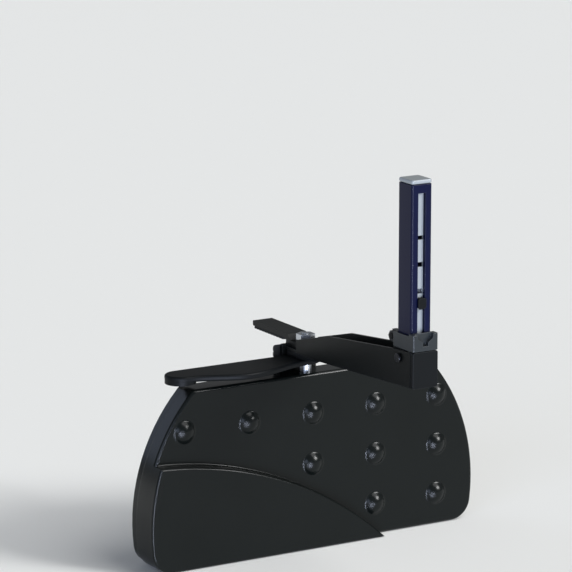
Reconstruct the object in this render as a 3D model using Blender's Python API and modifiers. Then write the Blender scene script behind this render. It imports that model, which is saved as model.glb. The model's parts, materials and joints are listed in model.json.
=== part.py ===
"""Table tennis net clamp: post, arm, clamping lever and jaws behind a dimpled cover.

Z = 0 is the upper pad's lower face, Y = 0 the side pad's face and X = 0 the middle plane of the
jaws, the arm and the post. The mouth opens along +Y, and the arm carries the post along -Y.
"""
import math

import bmesh
import bpy
from mathutils import Matrix, Vector

MM = 0.001

# ---- driving dimensions -------------------------------------------------------------------
GAP = 0.3 * MM                  # clearance between pieces that seat on each other
RUN_GAP = 0.4 * MM              # clearance beside a moving piece
SEGMENTS = 24                   # sides of a small round piece

POST_OVERHANG = 152.5 * MM      # side pad's face to the post's inner face
POST_TOP = 143.0 * MM
POST_BOTTOM = 27.8 * MM
POST_WIDTH = 16.4 * MM          # along X
POST_DEPTH = 17.5 * MM          # along Y
POST_WALL = 2.3 * MM
POST_LIP = 3.0 * MM             # thickness of the slotted outer wall
POST_CORNER = 1.6 * MM
SLOT_WIDTH = 5.8 * MM
SLOT_TOP = 136.8 * MM
CAP_HEIGHT = 3.0 * MM
CAP_PLUG = 5.5 * MM
RACK_RECESS = 2.4 * MM          # rack's face behind the post's outer face
RACK_FLANGE = 1.8 * MM
NOTCHES = ((56.3 * MM, 63.5 * MM), (66.3 * MM, 69.8 * MM),
           (85.1 * MM, 88.4 * MM), (104.1 * MM, 107.0 * MM))
NOTCH_WIDTH = 6.6 * MM
HOOK_WIDTH = 6.6 * MM
HOOK_THICK = 1.4 * MM
SPIGOT_DEPTH = 9.1 * MM
SPIGOT_BOTTOM = 6.0 * MM
SPIGOT_TOP = 80.0 * MM

ARM_WIDTH = 20.6 * MM
ARM_WALL = 1.9 * MM
ARM_BASE = 2.0 * MM
ARM_START = -20.0 * MM          # inner end of the arm's walls
ARM_END_PAST_POST = 2.0 * MM
SOCKET_HEIGHT = 27.0 * MM
SOCKET_FRONT = 3.7 * MM         # thickness of the socket's front flange
SOCKET_FRONT_BOTTOM = 1.2 * MM
COLLAR_HEIGHT = 10.5 * MM
COLLAR_HORN = 1.6 * MM

PLATE = 3.5 * MM                # clamp frame's steel
PLATE_WIDTH = 64.0 * MM
PLATE_BOTTOM = -99.0 * MM
BAR_WIDTH = 16.0 * MM           # upper jaw bar
BAR_THICK = 4.0 * MM
PAD_THICK = 1.5 * MM
JAW_REACH = 46.0 * MM
SIDE_PAD_WIDTH = 36.0 * MM
SIDE_PAD_BOTTOM = -60.0 * MM

LEVER_TOP = -9.3 * MM
LEVER_THICK = 4.6 * MM
LEVER_LENGTH = 104.5 * MM       # pivot to the centre of the tip
LEVER_TIP_R = 11.5 * MM
LEVER_LIP = 2.0 * MM            # how far the tip's grip hangs below the blade
HUB_R = 10.4 * MM
SPINDLE_Y = -16.5 * MM
SPINDLE_R = 4.5 * MM
JOURNAL_R = 4.0 * MM
STUD_R = 3.0 * MM
JAW_NUT_R = 6.2 * MM

COVER_R = 139.5 * MM            # outline radius of the disc-shaped cover
COVER_CENTRE_Z = -118.0 * MM
COVER_TOP = -20.0 * MM
COVER_BOTTOM = -149.5 * MM
COVER_FRONT = -27.5 * MM
COVER_DEPTH = 15.0 * MM         # front shell's rim, from the panel to the seam
COVER_SEAM_STEP = 1.0 * MM      # how far the rear shell's rim stands in
COVER_WALL = 3.0 * MM
COVER_TOP_FILLET = 7.0 * MM
COVER_BOTTOM_FILLET = 16.0 * MM
COVER_EDGE = 2.4 * MM           # rounding of the front edge
REAR_COVER = 2.4 * MM
COVER_SCREW_INSET = 29.7 * MM   # screws' circle inside the cover's outline
DIMPLE_INSET = 32.5 * MM        # outermost dimples inside the cover's outline
DIMPLE_PITCH_X = (COVER_R - DIMPLE_INSET) / 2
DIMPLE_PITCH_Z = 38.0 * MM
DIMPLE_TOP_Z = -50.0 * MM
DIMPLE_R = 8.4 * MM
DIMPLE_HEIGHT = 3.8 * MM
APRON_RISE = 10.0 * MM          # how far the arched apron stands out of the panel
APRON_R = 292.0 * MM
APRON_CREST = (-142.0 * MM, -71.5 * MM)
APRON_EDGE = 1.6 * MM

LOWER_JAW_Z = -68.0 * MM        # top of the lower jaw's foot
LOWER_JAW_THICK = 10.0 * MM
JAW_FOOT_WIDTH = 32.0 * MM
JAW_FOOT_TIP = 22.0 * MM
JAW_FOOT_PAST_SCREW = 15.0 * MM
CARRIAGE_WIDTH = 30.0 * MM
CARRIAGE_RISE = 16.0 * MM
SCREW_Y = 28.0 * MM
SCREW_R = 6.0 * MM
SCREW_NECK_R = 4.0 * MM
SCREW_BOTTOM = -116.0 * MM
CLAMP_OPENING = 40.0 * MM       # upper pad to the pressure pad
PRESSURE_R = 16.0 * MM
PRESSURE_THICK = 4.0 * MM
KNOB_R = 20.0 * MM
KNOB_HEIGHT = 18.0 * MM
KNOB_LOBES = 6

# ---- worked out from the driving dimensions ------------------------------------------------
POST_INNER_Y = -POST_OVERHANG
POST_OUTER_Y = POST_INNER_Y - POST_DEPTH
ARM_END = POST_OUTER_Y - ARM_END_PAST_POST
SOCKET_OUTER_Y = ARM_END - GAP - SOCKET_FRONT
PLATE_BACK = -PAD_THICK - GAP
PLATE_FRONT = PLATE_BACK - PLATE
COVER_BACK = PLATE_FRONT - GAP
BAR_TOP = PAD_THICK + GAP + BAR_THICK
SHELF_TOP = 1.3 * MM
SHELF_BOTTOM = SHELF_TOP - BAR_THICK
BASE_TOP = SHELF_BOTTOM - GAP
BASE_BOTTOM = BASE_TOP - ARM_BASE
WEDGE_TOP = BASE_BOTTOM - GAP
WEDGE_BOTTOM = LEVER_TOP + RUN_GAP
LEVER_BOTTOM = LEVER_TOP - LEVER_THICK
PAD_TOP_Z = -CLAMP_OPENING
CUP_TOP = PAD_TOP_Z - 2.0 * MM - GAP
CUP_BOTTOM = CUP_TOP - PRESSURE_THICK

PARTS = None
CUTTERS = None


# ---- general helpers -----------------------------------------------------------------------
def clear_scene():
    """Empty the scene and make the two collections."""
    global PARTS, CUTTERS
    for old in list(bpy.data.objects):
        bpy.data.objects.remove(old, do_unlink=True)
    PARTS = bpy.data.collections.new("table_tennis_net_clamp")
    CUTTERS = bpy.data.collections.new("cutters")
    bpy.context.scene.collection.children.link(PARTS)
    bpy.context.scene.collection.children.link(CUTTERS)


def material(name, colour, roughness, metallic=0.0):
    """One Principled material, made once for each name."""
    found = bpy.data.materials.get(name)
    if found:
        return found
    made = bpy.data.materials.new(name)
    made.use_nodes = True
    shader = made.node_tree.nodes["Principled BSDF"]
    shader.inputs["Base Color"].default_value = (*colour, 1.0)
    shader.inputs["Roughness"].default_value = roughness
    shader.inputs["Metallic"].default_value = metallic
    return made


def black_paint():
    return material("black powder coat", (0.018, 0.020, 0.019), 0.45)


def navy_paint():
    return material("navy lacquered aluminium", (0.014, 0.014, 0.045), 0.3, 0.3)


def cover_plastic():
    return material("dark grey moulded plastic", (0.022, 0.026, 0.024), 0.35)


def black_plastic():
    return material("black moulded plastic", (0.016, 0.018, 0.018), 0.42)


def grey_plastic():
    return material("light grey plastic", (0.55, 0.56, 0.55), 0.4)


def mid_grey_plastic():
    return material("mid grey plastic", (0.09, 0.10, 0.105), 0.32)


def zinc_steel():
    return material("zinc plated steel", (0.50, 0.51, 0.52), 0.35, 1.0)


def black_steel():
    return material("black oxide steel", (0.03, 0.03, 0.032), 0.35, 1.0)


def rubber():
    return material("black rubber", (0.02, 0.02, 0.02), 0.8)


def brass():
    return material("brass", (0.58, 0.42, 0.18), 0.3, 1.0)


def add_object(name, mesh, look):
    """Link a mesh as one named sub-part."""
    mesh.name = name
    thing = bpy.data.objects.new(name, mesh)
    PARTS.objects.link(thing)
    mesh.materials.clear()
    mesh.materials.append(look)
    mesh.shade_smooth()
    mesh.set_sharp_from_angle(angle=math.radians(35))
    return thing


def cutter(mesh):
    """Link a mesh as a hidden cutting or joining shape."""
    thing = bpy.data.objects.new("cutter", mesh)
    CUTTERS.objects.link(thing)
    thing.hide_render = True
    thing.display_type = 'WIRE'
    return thing


def combine(thing, other, operation):
    """Add an exact Boolean of one mesh, or of a cutter with its own changes, to an object."""
    change = thing.modifiers.new(operation.lower(), 'BOOLEAN')
    change.operation = operation
    change.solver = 'EXACT'
    change.object = other if isinstance(other, bpy.types.Object) else cutter(other)


def cut(thing, *meshes):
    for mesh in meshes:
        combine(thing, mesh, 'DIFFERENCE')


def join(thing, *meshes):
    for mesh in meshes:
        combine(thing, mesh, 'UNION')


def round_edges(thing, width, segments=2, angle=50):
    """Bevel the edges sharper than the angle."""
    bevel = thing.modifiers.new("rounded edges", 'BEVEL')
    bevel.width = width
    bevel.segments = segments
    bevel.limit_method = 'ANGLE'
    bevel.angle_limit = math.radians(angle)


def box(low, high):
    """A box mesh between two corners."""
    mesh = bpy.data.meshes.new("box")
    build = bmesh.new()
    bmesh.ops.create_cube(build, size=1.0)
    size = [h - l for l, h in zip(low, high)]
    centre = [(h + l) / 2 for l, h in zip(low, high)]
    bmesh.ops.scale(build, vec=size, verts=build.verts)
    bmesh.ops.translate(build, vec=centre, verts=build.verts)
    build.to_mesh(mesh)
    build.free()
    return mesh


AXIS_TURNS = {
    "X": Matrix.Rotation(math.radians(90), 4, 'Y'),
    "Y": Matrix.Rotation(math.radians(-90), 4, 'X'),
    "Z": Matrix.Identity(4),
}


def rod(radius, start, length, axis="Z", sides=SEGMENTS, top_radius=None):
    """A cylinder or cone from a start point along an axis."""
    mesh = bpy.data.meshes.new("rod")
    build = bmesh.new()
    if top_radius is None:
        top_radius = radius
    bmesh.ops.create_cone(build, cap_ends=True, segments=sides, radius1=radius,
                          radius2=top_radius, depth=length)
    place = Matrix.Translation((0, 0, length / 2))
    matrix = Matrix.Translation(start) @ AXIS_TURNS[axis] @ place
    bmesh.ops.transform(build, matrix=matrix, verts=build.verts)
    build.to_mesh(mesh)
    build.free()
    return mesh


def slab(points, low, high, axis):
    """Extrude a flat outline along an axis: a 2D curve turned into a mesh.

    The outline's points are (X, Y) for axis Z, (X, Z) for axis Y and (Y, Z) for axis X. The
    curve is filled at a scale of one unit to the millimetre, where its filling is exact.
    """
    curve = bpy.data.curves.new("outline", 'CURVE')
    curve.dimensions = '2D'
    curve.fill_mode = 'BOTH'
    curve.extrude = (high - low) / 2 / MM
    spline = curve.splines.new('POLY')
    spline.points.add(len(points) - 1)
    for point, (u, v) in zip(spline.points, points):
        point.co = (u / MM, v / MM, 0.0, 1.0)
    spline.use_cyclic_u = True
    holder = bpy.data.objects.new("outline", curve)
    CUTTERS.objects.link(holder)
    bpy.context.view_layer.update()
    graph = bpy.context.evaluated_depsgraph_get()
    mesh = bpy.data.meshes.new_from_object(holder.evaluated_get(graph))
    bpy.data.objects.remove(holder, do_unlink=True)
    middle = (high + low) / 2
    turns = {
        "Z": Matrix.Translation((0, 0, middle)),
        "Y": Matrix(((1, 0, 0, 0), (0, 0, -1, middle), (0, 1, 0, 0), (0, 0, 0, 1))),
        "X": Matrix(((0, 0, 1, middle), (1, 0, 0, 0), (0, 1, 0, 0), (0, 0, 0, 1))),
    }
    build = bmesh.new()
    build.from_mesh(mesh)
    bmesh.ops.remove_doubles(build, verts=build.verts, dist=0.001)
    bmesh.ops.dissolve_limit(build, angle_limit=math.radians(0.3), verts=build.verts, edges=build.edges)
    bmesh.ops.scale(build, vec=(MM, MM, MM), verts=build.verts)
    bmesh.ops.transform(build, matrix=turns[axis], verts=build.verts)
    bmesh.ops.recalc_face_normals(build, faces=build.faces)
    build.to_mesh(mesh)
    build.free()
    return mesh


def turned(profile, centre_x, centre_y, steps=SEGMENTS):
    """A solid of revolution about a vertical axis; profile is (radius, z), top to bottom."""
    mesh = bpy.data.meshes.new("profile")
    build = bmesh.new()
    points = [build.verts.new((r, 0, z)) for r, z in profile]
    for first, second in zip(points, points[1:]):
        build.edges.new((first, second))
    build.to_mesh(mesh)
    build.free()
    holder = bpy.data.objects.new("profile", mesh)
    CUTTERS.objects.link(holder)
    screw = holder.modifiers.new("turn", 'SCREW')
    screw.steps = steps
    screw.render_steps = steps
    screw.use_merge_vertices = True
    screw.merge_threshold = 1e-6
    bpy.context.view_layer.update()
    graph = bpy.context.evaluated_depsgraph_get()
    solid = bpy.data.meshes.new_from_object(holder.evaluated_get(graph))
    bpy.data.objects.remove(holder, do_unlink=True)
    build = bmesh.new()
    build.from_mesh(solid)
    bmesh.ops.remove_doubles(build, verts=build.verts, dist=1e-6)
    bmesh.ops.translate(build, vec=(centre_x, centre_y, 0), verts=build.verts)
    bmesh.ops.recalc_face_normals(build, faces=build.faces)
    build.to_mesh(solid)
    build.free()
    return solid


def arc(centre, radius, start, end, steps):
    """Points along an arc, angles in degrees."""
    points = []
    for step in range(steps + 1):
        turn = math.radians(start + (end - start) * step / steps)
        points.append((centre[0] + radius * math.cos(turn), centre[1] + radius * math.sin(turn)))
    return points


def round_corners(corners, radius, steps=4):
    """Replace each corner of a closed outline by an arc that is tangent to both sides."""
    points = []
    count = len(corners)
    for index in range(count):
        before = Vector(corners[index - 1])
        corner = Vector(corners[index])
        after = Vector(corners[(index + 1) % count])
        into = (before - corner).normalized()
        out = (after - corner).normalized()
        half = into.angle(out) / 2
        reach = radius / math.tan(half)
        centre = corner + (into + out).normalized() * (radius / math.sin(half))
        first = corner + into * reach - centre
        swing = first.angle_signed(corner + out * reach - centre)
        for step in range(steps + 1):
            turn = -swing * step / steps
            spoke = Vector((first.x * math.cos(turn) - first.y * math.sin(turn),
                            first.x * math.sin(turn) + first.y * math.cos(turn)))
            points.append(tuple(centre + spoke))
    return points


def rectangle(x_half, y_low, y_high):
    """Corners of a rectangle that is symmetric about X = 0."""
    return [(-x_half, y_low), (x_half, y_low), (x_half, y_high), (-x_half, y_high)]


# ---- clamp frame ---------------------------------------------------------------------------
FRAME_SCREWS = [(side * 25.0 * MM, z * MM) for side in (-1, 1) for z in (-34.0, -90.0)]
COVER_SCREWS = [(side * math.sqrt((COVER_R - COVER_SCREW_INSET) ** 2 - (z * MM - COVER_CENTRE_Z) ** 2), z * MM)
                for side in (-1, 1) for z in (-58.0, -128.0)]
SCREW_HOLE_R = 2.3 * MM
BOSS_R = 4.5 * MM
COVER_SEAM = COVER_FRONT + COVER_DEPTH
NECK_HALF = 11.0 * MM           # lower jaw's neck, along X
NECK_TOP = LOWER_JAW_Z + 2.0 * MM
NECK_BOTTOM = LOWER_JAW_Z - LOWER_JAW_THICK
JAW_TRAVEL = 4.4 * MM
SHELF_LIFT = 1.0 * MM           # spindle shelf above the back plate's lower edge
RIVETS_Y = (-30.0 * MM, -42.0 * MM)
RIVET_R = 2.2 * MM


def slot_box(side_gap, front, back):
    """The opening that the lower jaw's neck slides in."""
    low = (-NECK_HALF - side_gap, front, NECK_BOTTOM - JAW_TRAVEL - 2 * side_gap)
    high = (NECK_HALF + side_gap, back, NECK_TOP + 2 * side_gap)
    return box(low, high)


def make_clamp_frame():
    """Back plate, upper jaw bar with its joggle, and the spindle's lower shelf."""
    half = PLATE_WIDTH / 2
    neck = 13.0 * MM
    shoulder = COVER_TOP - 8.0 * MM
    outline = round_corners([(-neck, SHELF_BOTTOM + 1.0 * MM), (-neck, COVER_TOP), (-half, shoulder),
                             (-half, PLATE_BOTTOM), (half, PLATE_BOTTOM), (half, shoulder),
                             (neck, COVER_TOP), (neck, SHELF_BOTTOM + 1.0 * MM)], 0.9 * MM, 3)
    frame = add_object("clamp_frame", slab(outline, PLATE_FRONT, PLATE_BACK, "Y"), black_paint())
    flush = PLATE_BACK - 0.05 * MM
    side = [(RIVETS_Y[1] - 6.0 * MM, SHELF_BOTTOM), (flush, SHELF_BOTTOM),
            (flush, PAD_THICK + GAP), (JAW_REACH, PAD_THICK + GAP), (JAW_REACH, BAR_TOP),
            (PLATE_FRONT + 1.5 * MM, BAR_TOP), (PLATE_FRONT - 2.5 * MM, SHELF_TOP),
            (RIVETS_Y[1] - 6.0 * MM, SHELF_TOP)]
    bar = slab(round_corners(side, 0.8 * MM, 3), -BAR_WIDTH / 2, BAR_WIDTH / 2, "X")
    shelf_half = 12.0 * MM
    shelf = box((-shelf_half, SPINDLE_Y - 6.6 * MM, PLATE_BOTTOM + SHELF_LIFT),
                (shelf_half, PLATE_BACK - 1.0 * MM, PLATE_BOTTOM + SHELF_LIFT + PLATE))
    join(frame, bar, shelf)
    cut(frame, slot_box(RUN_GAP, PLATE_FRONT - 1.0 * MM, PLATE_BACK + 1.0 * MM))
    cut(frame, rod(JOURNAL_R + GAP, (0, SPINDLE_Y, SHELF_BOTTOM - MM), BAR_THICK + 2 * MM))
    cut(frame, rod(STUD_R + GAP, (0, SPINDLE_Y, PLATE_BOTTOM), PLATE + SHELF_LIFT + MM))
    for y in RIVETS_Y:
        cut(frame, rod(RIVET_R + GAP, (0, y, SHELF_BOTTOM - MM), BAR_THICK + 2 * MM, sides=16))
    for x, z in FRAME_SCREWS:
        cut(frame, rod(SCREW_HOLE_R, (x, PLATE_FRONT - MM, z), PLATE + 2 * MM, "Y", 16))
    return frame


def make_pads():
    """Rubber under the upper jaw and on the back plate."""
    half = BAR_WIDTH / 2
    upper = slab(round_corners(rectangle(half, 2.0 * MM, JAW_REACH - 1.0 * MM), 2.0 * MM),
                 0.0, PAD_THICK, "Z")
    side = slab(round_corners(rectangle(SIDE_PAD_WIDTH / 2, SIDE_PAD_BOTTOM, -2.5 * MM), 2.0 * MM),
                -PAD_THICK, 0.0, "Y")
    return [add_object("upper_jaw_pad", upper, rubber()), add_object("side_pad", side, rubber())]


# ---- arm -----------------------------------------------------------------------------------
ARM_FLAT_END = -50.0 * MM
ARM_OUTER_RISE = 6.5 * MM       # how far the base climbs towards the post
ARM_TOP_LINE = ((-150.0 * MM, 25.4 * MM), (-64.0 * MM, 16.2 * MM))
ARM_INNER_TOP = 4.5 * MM
ARM_OUTER_TOP = 26.5 * MM
BOLT_Y = POST_INNER_Y - 6.0 * MM
BOLT_Z = 20.6 * MM
BOLT_R = 2.0 * MM
BOLT_HEAD_R = 3.3 * MM


def make_arm():
    """Folded channel: level under the clamp, then rising to the post, with tapered walls."""
    half = ARM_WIDTH / 2
    inner_end = PLATE_FRONT - 1.0 * MM
    outline = [(inner_end, BASE_BOTTOM), (ARM_FLAT_END, BASE_BOTTOM),
               (ARM_END, BASE_BOTTOM + ARM_OUTER_RISE), (ARM_END, ARM_OUTER_TOP),
               *ARM_TOP_LINE, (ARM_START, ARM_INNER_TOP), (ARM_START, BASE_TOP), (inner_end, BASE_TOP)]
    arm = add_object("arm_channel", slab(outline, -half, half, "X"), black_paint())
    room = [(inner_end + MM, BASE_TOP), (ARM_FLAT_END, BASE_TOP), (ARM_END, BASE_TOP + ARM_OUTER_RISE),
            (ARM_END - MM, BASE_TOP + ARM_OUTER_RISE), (ARM_END - MM, SOCKET_HEIGHT + 10 * MM),
            (inner_end + MM, SOCKET_HEIGHT + 10 * MM)]
    cut(arm, slab(room, -half + ARM_WALL, half - ARM_WALL, "X"))
    cut(arm, rod(JOURNAL_R + GAP, (0, SPINDLE_Y, BASE_BOTTOM - MM), ARM_BASE + 2 * MM))
    for y in RIVETS_Y:
        cut(arm, rod(RIVET_R + GAP, (0, y, BASE_BOTTOM - MM), ARM_BASE + 2 * MM, sides=16))
    cut(arm, rod(BOLT_R + GAP, (-half - MM, BOLT_Y, BOLT_Z), ARM_WIDTH + 2 * MM, "X", 16))
    round_edges(arm, 0.35 * MM, 1)

    wedge_inner = inner_end - 0.7 * MM
    wedge = [(ARM_FLAT_END, WEDGE_TOP), (ARM_FLAT_END, WEDGE_TOP - 0.6 * MM),
             (ARM_START - 5.0 * MM, WEDGE_BOTTOM), (wedge_inner, WEDGE_BOTTOM), (wedge_inner, WEDGE_TOP)]
    spacer = add_object("arm_wedge", slab(wedge, -half, half, "X"), black_plastic())
    cut(spacer, rod(JOURNAL_R + GAP, (0, SPINDLE_Y, WEDGE_BOTTOM - MM), 6 * MM))
    pieces = [arm, spacer]
    head_z = SHELF_TOP + GAP
    for number, y in enumerate(RIVETS_Y, 1):
        profile = [(0, head_z + 1.6 * MM), (2.4 * MM, head_z + 1.4 * MM), (4.0 * MM, head_z + 0.5 * MM),
                   (4.0 * MM, head_z), (RIVET_R, head_z), (RIVET_R, BASE_BOTTOM), (0, BASE_BOTTOM)]
        pieces.append(add_object(f"arm_rivet_{number}", turned(profile, 0, y, 16), zinc_steel()))
    return pieces


# ---- socket and collar ---------------------------------------------------------------------
POCKET_GAP = GAP
SOCKET_INNER_Y = POST_INNER_Y + 5.5 * MM
SPIGOT_HALF = POST_WIDTH / 2 - POST_WALL - RUN_GAP
SPIGOT_INNER_Y = POST_INNER_Y - POST_WALL - RUN_GAP
SPIGOT_OUTER_Y = SPIGOT_INNER_Y - SPIGOT_DEPTH
COLLAR_HOLE_GAP = GAP
COLLAR_BOTTOM = SOCKET_HEIGHT + GAP
COLLAR_TOP = COLLAR_BOTTOM + COLLAR_HEIGHT
COLLAR_WALL = 2.2 * MM
THUMB_R = 5.2 * MM
EAR_Y = POST_INNER_Y + COLLAR_HOLE_GAP + COLLAR_WALL + THUMB_R + 0.8 * MM
EAR_Z = COLLAR_BOTTOM + COLLAR_HEIGHT / 2
EAR_THICK = 3.6 * MM
SPLIT_HALF = 0.9 * MM
NUT_R = 4.2 * MM                # M4 nuts, across corners
NUT_THICK = 2.8 * MM


def make_socket():
    """Moulded block between the arm's walls, with a front flange and the spigot's pocket."""
    half = ARM_WIDTH / 2
    block_half = half - ARM_WALL - GAP
    bottom = BASE_TOP + ARM_OUTER_RISE + GAP
    front = slab(round_corners(rectangle(half, SOCKET_FRONT_BOTTOM, SOCKET_HEIGHT), 1.5 * MM, 3),
                 SOCKET_OUTER_Y, ARM_END - GAP, "Y")
    socket = add_object("socket_block", front, black_plastic())
    round_edges(socket, 0.6 * MM, 2)
    join(socket, box((-block_half, ARM_END - GAP - MM, bottom),
                     (block_half, SOCKET_INNER_Y, SOCKET_HEIGHT - MM)))
    pocket_half = SPIGOT_HALF + POCKET_GAP
    cut(socket, box((-pocket_half, SPIGOT_OUTER_Y - POCKET_GAP, SPIGOT_BOTTOM - POCKET_GAP),
                    (pocket_half, SPIGOT_INNER_Y + POCKET_GAP, SOCKET_HEIGHT + MM)))
    cut(socket, rod(BOLT_R + GAP, (-half - MM, BOLT_Y, BOLT_Z), ARM_WIDTH + 2 * MM, "X", 16))

    spigot = add_object("post_spigot", box((-SPIGOT_HALF, SPIGOT_OUTER_Y, SPIGOT_BOTTOM),
                                           (SPIGOT_HALF, SPIGOT_INNER_Y, SPIGOT_TOP)), zinc_steel())
    round_edges(spigot, 0.8 * MM, 2)
    cut(spigot, rod(BOLT_R + GAP, (-half, BOLT_Y, BOLT_Z), ARM_WIDTH, "X", 16))

    head = rod(BOLT_HEAD_R, (-half - GAP - 2.0 * MM, BOLT_Y, BOLT_Z), 2.0 * MM, "X", SEGMENTS)
    bolt = add_object("socket_bolt", head, black_steel())
    round_edges(bolt, 0.7 * MM, 2)
    join(bolt, rod(BOLT_R, (-half - GAP - MM, BOLT_Y, BOLT_Z), ARM_WIDTH + 5.0 * MM, "X", 16))
    nut = add_object("socket_nut", rod(NUT_R, (half + GAP, BOLT_Y, BOLT_Z), NUT_THICK, "X", 6), black_steel())
    cut(nut, rod(BOLT_R + GAP, (half, BOLT_Y, BOLT_Z), NUT_THICK + MM, "X", 16))
    return [socket, spigot, bolt, nut]


def make_collar():
    """Split ring round the post's foot, with two horns in front and two ears behind."""
    half = ARM_WIDTH / 2
    hole_half = POST_WIDTH / 2 + COLLAR_HOLE_GAP
    hole_back = POST_INNER_Y + COLLAR_HOLE_GAP
    back = hole_back + COLLAR_WALL
    plan = round_corners(rectangle(half, SOCKET_OUTER_Y, back), 1.2 * MM, 3)
    collar = add_object("lock_collar", slab(plan, COLLAR_BOTTOM, COLLAR_TOP + COLLAR_HORN, "Z"),
                        mid_grey_plastic())
    round_edges(collar, 0.5 * MM, 2)
    front = POST_OUTER_Y - COLLAR_HOLE_GAP
    cut(collar, box((-half - MM, front, COLLAR_TOP),
                    (half + MM, back + MM, COLLAR_TOP + COLLAR_HORN + MM)))
    notch = [(-6.8 * MM, COLLAR_TOP + COLLAR_HORN + MM), (-6.2 * MM, COLLAR_TOP - 1.5 * MM),
             (-2.4 * MM, COLLAR_TOP - 4.2 * MM), (-2.0 * MM, COLLAR_BOTTOM + 3.4 * MM),
             (2.0 * MM, COLLAR_BOTTOM + 3.4 * MM), (2.4 * MM, COLLAR_TOP - 4.2 * MM),
             (6.2 * MM, COLLAR_TOP - 1.5 * MM), (6.8 * MM, COLLAR_TOP + COLLAR_HORN + MM)]
    cut(collar, slab(notch, SOCKET_OUTER_Y - MM, front - 2.2 * MM, "Y"))
    for side in (-1, 1):
        near, far = sorted((side * SPLIT_HALF, side * (SPLIT_HALF + EAR_THICK)))
        join(collar, box((near, back - MM, COLLAR_BOTTOM + MM), (far, EAR_Y + 3.6 * MM, COLLAR_TOP - MM)))
    cut(collar, box((-hole_half, front, COLLAR_BOTTOM - MM), (hole_half, hole_back, COLLAR_TOP + MM)))
    cut(collar, box((-SPLIT_HALF, hole_back - MM, COLLAR_BOTTOM - MM),
                    (SPLIT_HALF, EAR_Y + 4.6 * MM, COLLAR_TOP + MM)))
    reach = SPLIT_HALF + EAR_THICK
    cut(collar, rod(BOLT_R + GAP, (-reach - MM, EAR_Y, EAR_Z), 2 * reach + 2 * MM, "X", 16))

    nut = add_object("collar_nut", rod(NUT_R, (-reach - GAP - NUT_THICK, EAR_Y, EAR_Z), NUT_THICK, "X", 6),
                     black_steel())
    cut(nut, rod(BOLT_R + GAP, (-reach - NUT_THICK - MM, EAR_Y, EAR_Z), NUT_THICK + 2 * MM, "X", 16))

    head_start = reach + GAP
    screw = add_object("collar_screw", knurled(THUMB_R, 0.35 * MM, 18, head_start, 4.5 * MM), black_plastic())
    join(screw, rod(BOLT_R, (-reach - 3.4 * MM, EAR_Y, EAR_Z), head_start + reach + 4.4 * MM, "X", 16))
    return [collar, nut], screw


def knurled(radius, depth, teeth, start, length):
    """A thumb head with a toothed rim, along X."""
    points = []
    for step in range(2 * teeth):
        reach = radius if step % 2 else radius - depth
        turn = math.pi * step / teeth
        points.append((EAR_Y + reach * math.cos(turn), EAR_Z + reach * math.sin(turn)))
    return slab(points, start, start + length, "X")


# ---- post ----------------------------------------------------------------------------------
def make_post():
    """Slotted tube with its cap, the light rack behind the slot and the cord hook."""
    half = POST_WIDTH / 2
    tube = slab(round_corners(rectangle(half, POST_OUTER_Y, POST_INNER_Y), POST_CORNER, 3),
                POST_BOTTOM, POST_TOP, "Z")
    post = add_object("post_tube", tube, navy_paint())
    inside_half = half - POST_WALL
    inside_inner = POST_INNER_Y - POST_WALL
    inside_outer = POST_OUTER_Y + POST_LIP
    cut(post, box((-inside_half, inside_outer, POST_BOTTOM - MM), (inside_half, inside_inner, POST_TOP + MM)))
    cut(post, box((-SLOT_WIDTH / 2, POST_OUTER_Y - MM, POST_BOTTOM - MM),
                  (SLOT_WIDTH / 2, inside_outer + MM, SLOT_TOP)))

    top = slab(round_corners(rectangle(half, POST_OUTER_Y, POST_INNER_Y), POST_CORNER, 3),
               POST_TOP + GAP, POST_TOP + GAP + CAP_HEIGHT, "Z")
    cap = add_object("post_cap", top, grey_plastic())
    round_edges(cap, 1.0 * MM, 3)
    join(cap, box((-inside_half + GAP, inside_outer + GAP, POST_TOP - CAP_PLUG),
                  (inside_half - GAP, inside_inner - GAP, POST_TOP + MM)))

    rib_half = SLOT_WIDTH / 2 - GAP
    rack_outer = POST_OUTER_Y + RACK_RECESS
    flange_outer = inside_outer + GAP
    flange_inner = flange_outer + RACK_FLANGE
    flange_half = inside_half - GAP
    rack = add_object("tension_rack", box((-flange_half, flange_outer, POST_BOTTOM + GAP),
                                          (flange_half, flange_inner, SLOT_TOP - GAP)), grey_plastic())
    join(rack, box((-rib_half, rack_outer, POST_BOTTOM + GAP),
                   (rib_half, flange_outer + MM, SLOT_TOP - GAP)))
    for low, high in NOTCHES:
        cut(rack, box((-NOTCH_WIDTH / 2, POST_OUTER_Y - MM, low), (NOTCH_WIDTH / 2, flange_inner + MM, high)))

    low, high = NOTCHES[0]
    stem_half = SLOT_WIDTH / 2 - 2 * GAP
    hook_back = POST_OUTER_Y - RUN_GAP
    stem = box((-stem_half, hook_back - HOOK_THICK / 2, low + 2 * GAP), (stem_half, flange_inner, high - 2 * GAP))
    face = round_corners(rectangle(HOOK_WIDTH / 2, low - GAP, high + GAP), 1.5 * MM, 3)
    hook = add_object("cord_hook", slab(face, hook_back - HOOK_THICK, hook_back, "Y"), black_plastic())
    round_edges(hook, 0.4 * MM, 2)
    join(hook, stem)
    return [post, cap, rack, hook]


# ---- lever and spindle ---------------------------------------------------------------------
LEVER_BELLY_X = -60.0 * MM
LEVER_BELLY_Y = -42.0 * MM
LEVER_TIP_Y = -17.0 * MM
SPINDLE_SHOULDER = LEVER_BOTTOM - GAP
NUT_HEIGHT = 4.4 * MM
WASHER = 1.2 * MM


def ease(start, end, steps):
    """Points on a smooth S-shaped edge, level at both ends, without its first point."""
    points = []
    for step in range(1, steps + 1):
        share = step / steps
        rise = share * share * (3 - 2 * share)
        points.append((start[0] + (end[0] - start[0]) * share, start[1] + (end[1] - start[1]) * rise))
    return points


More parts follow.
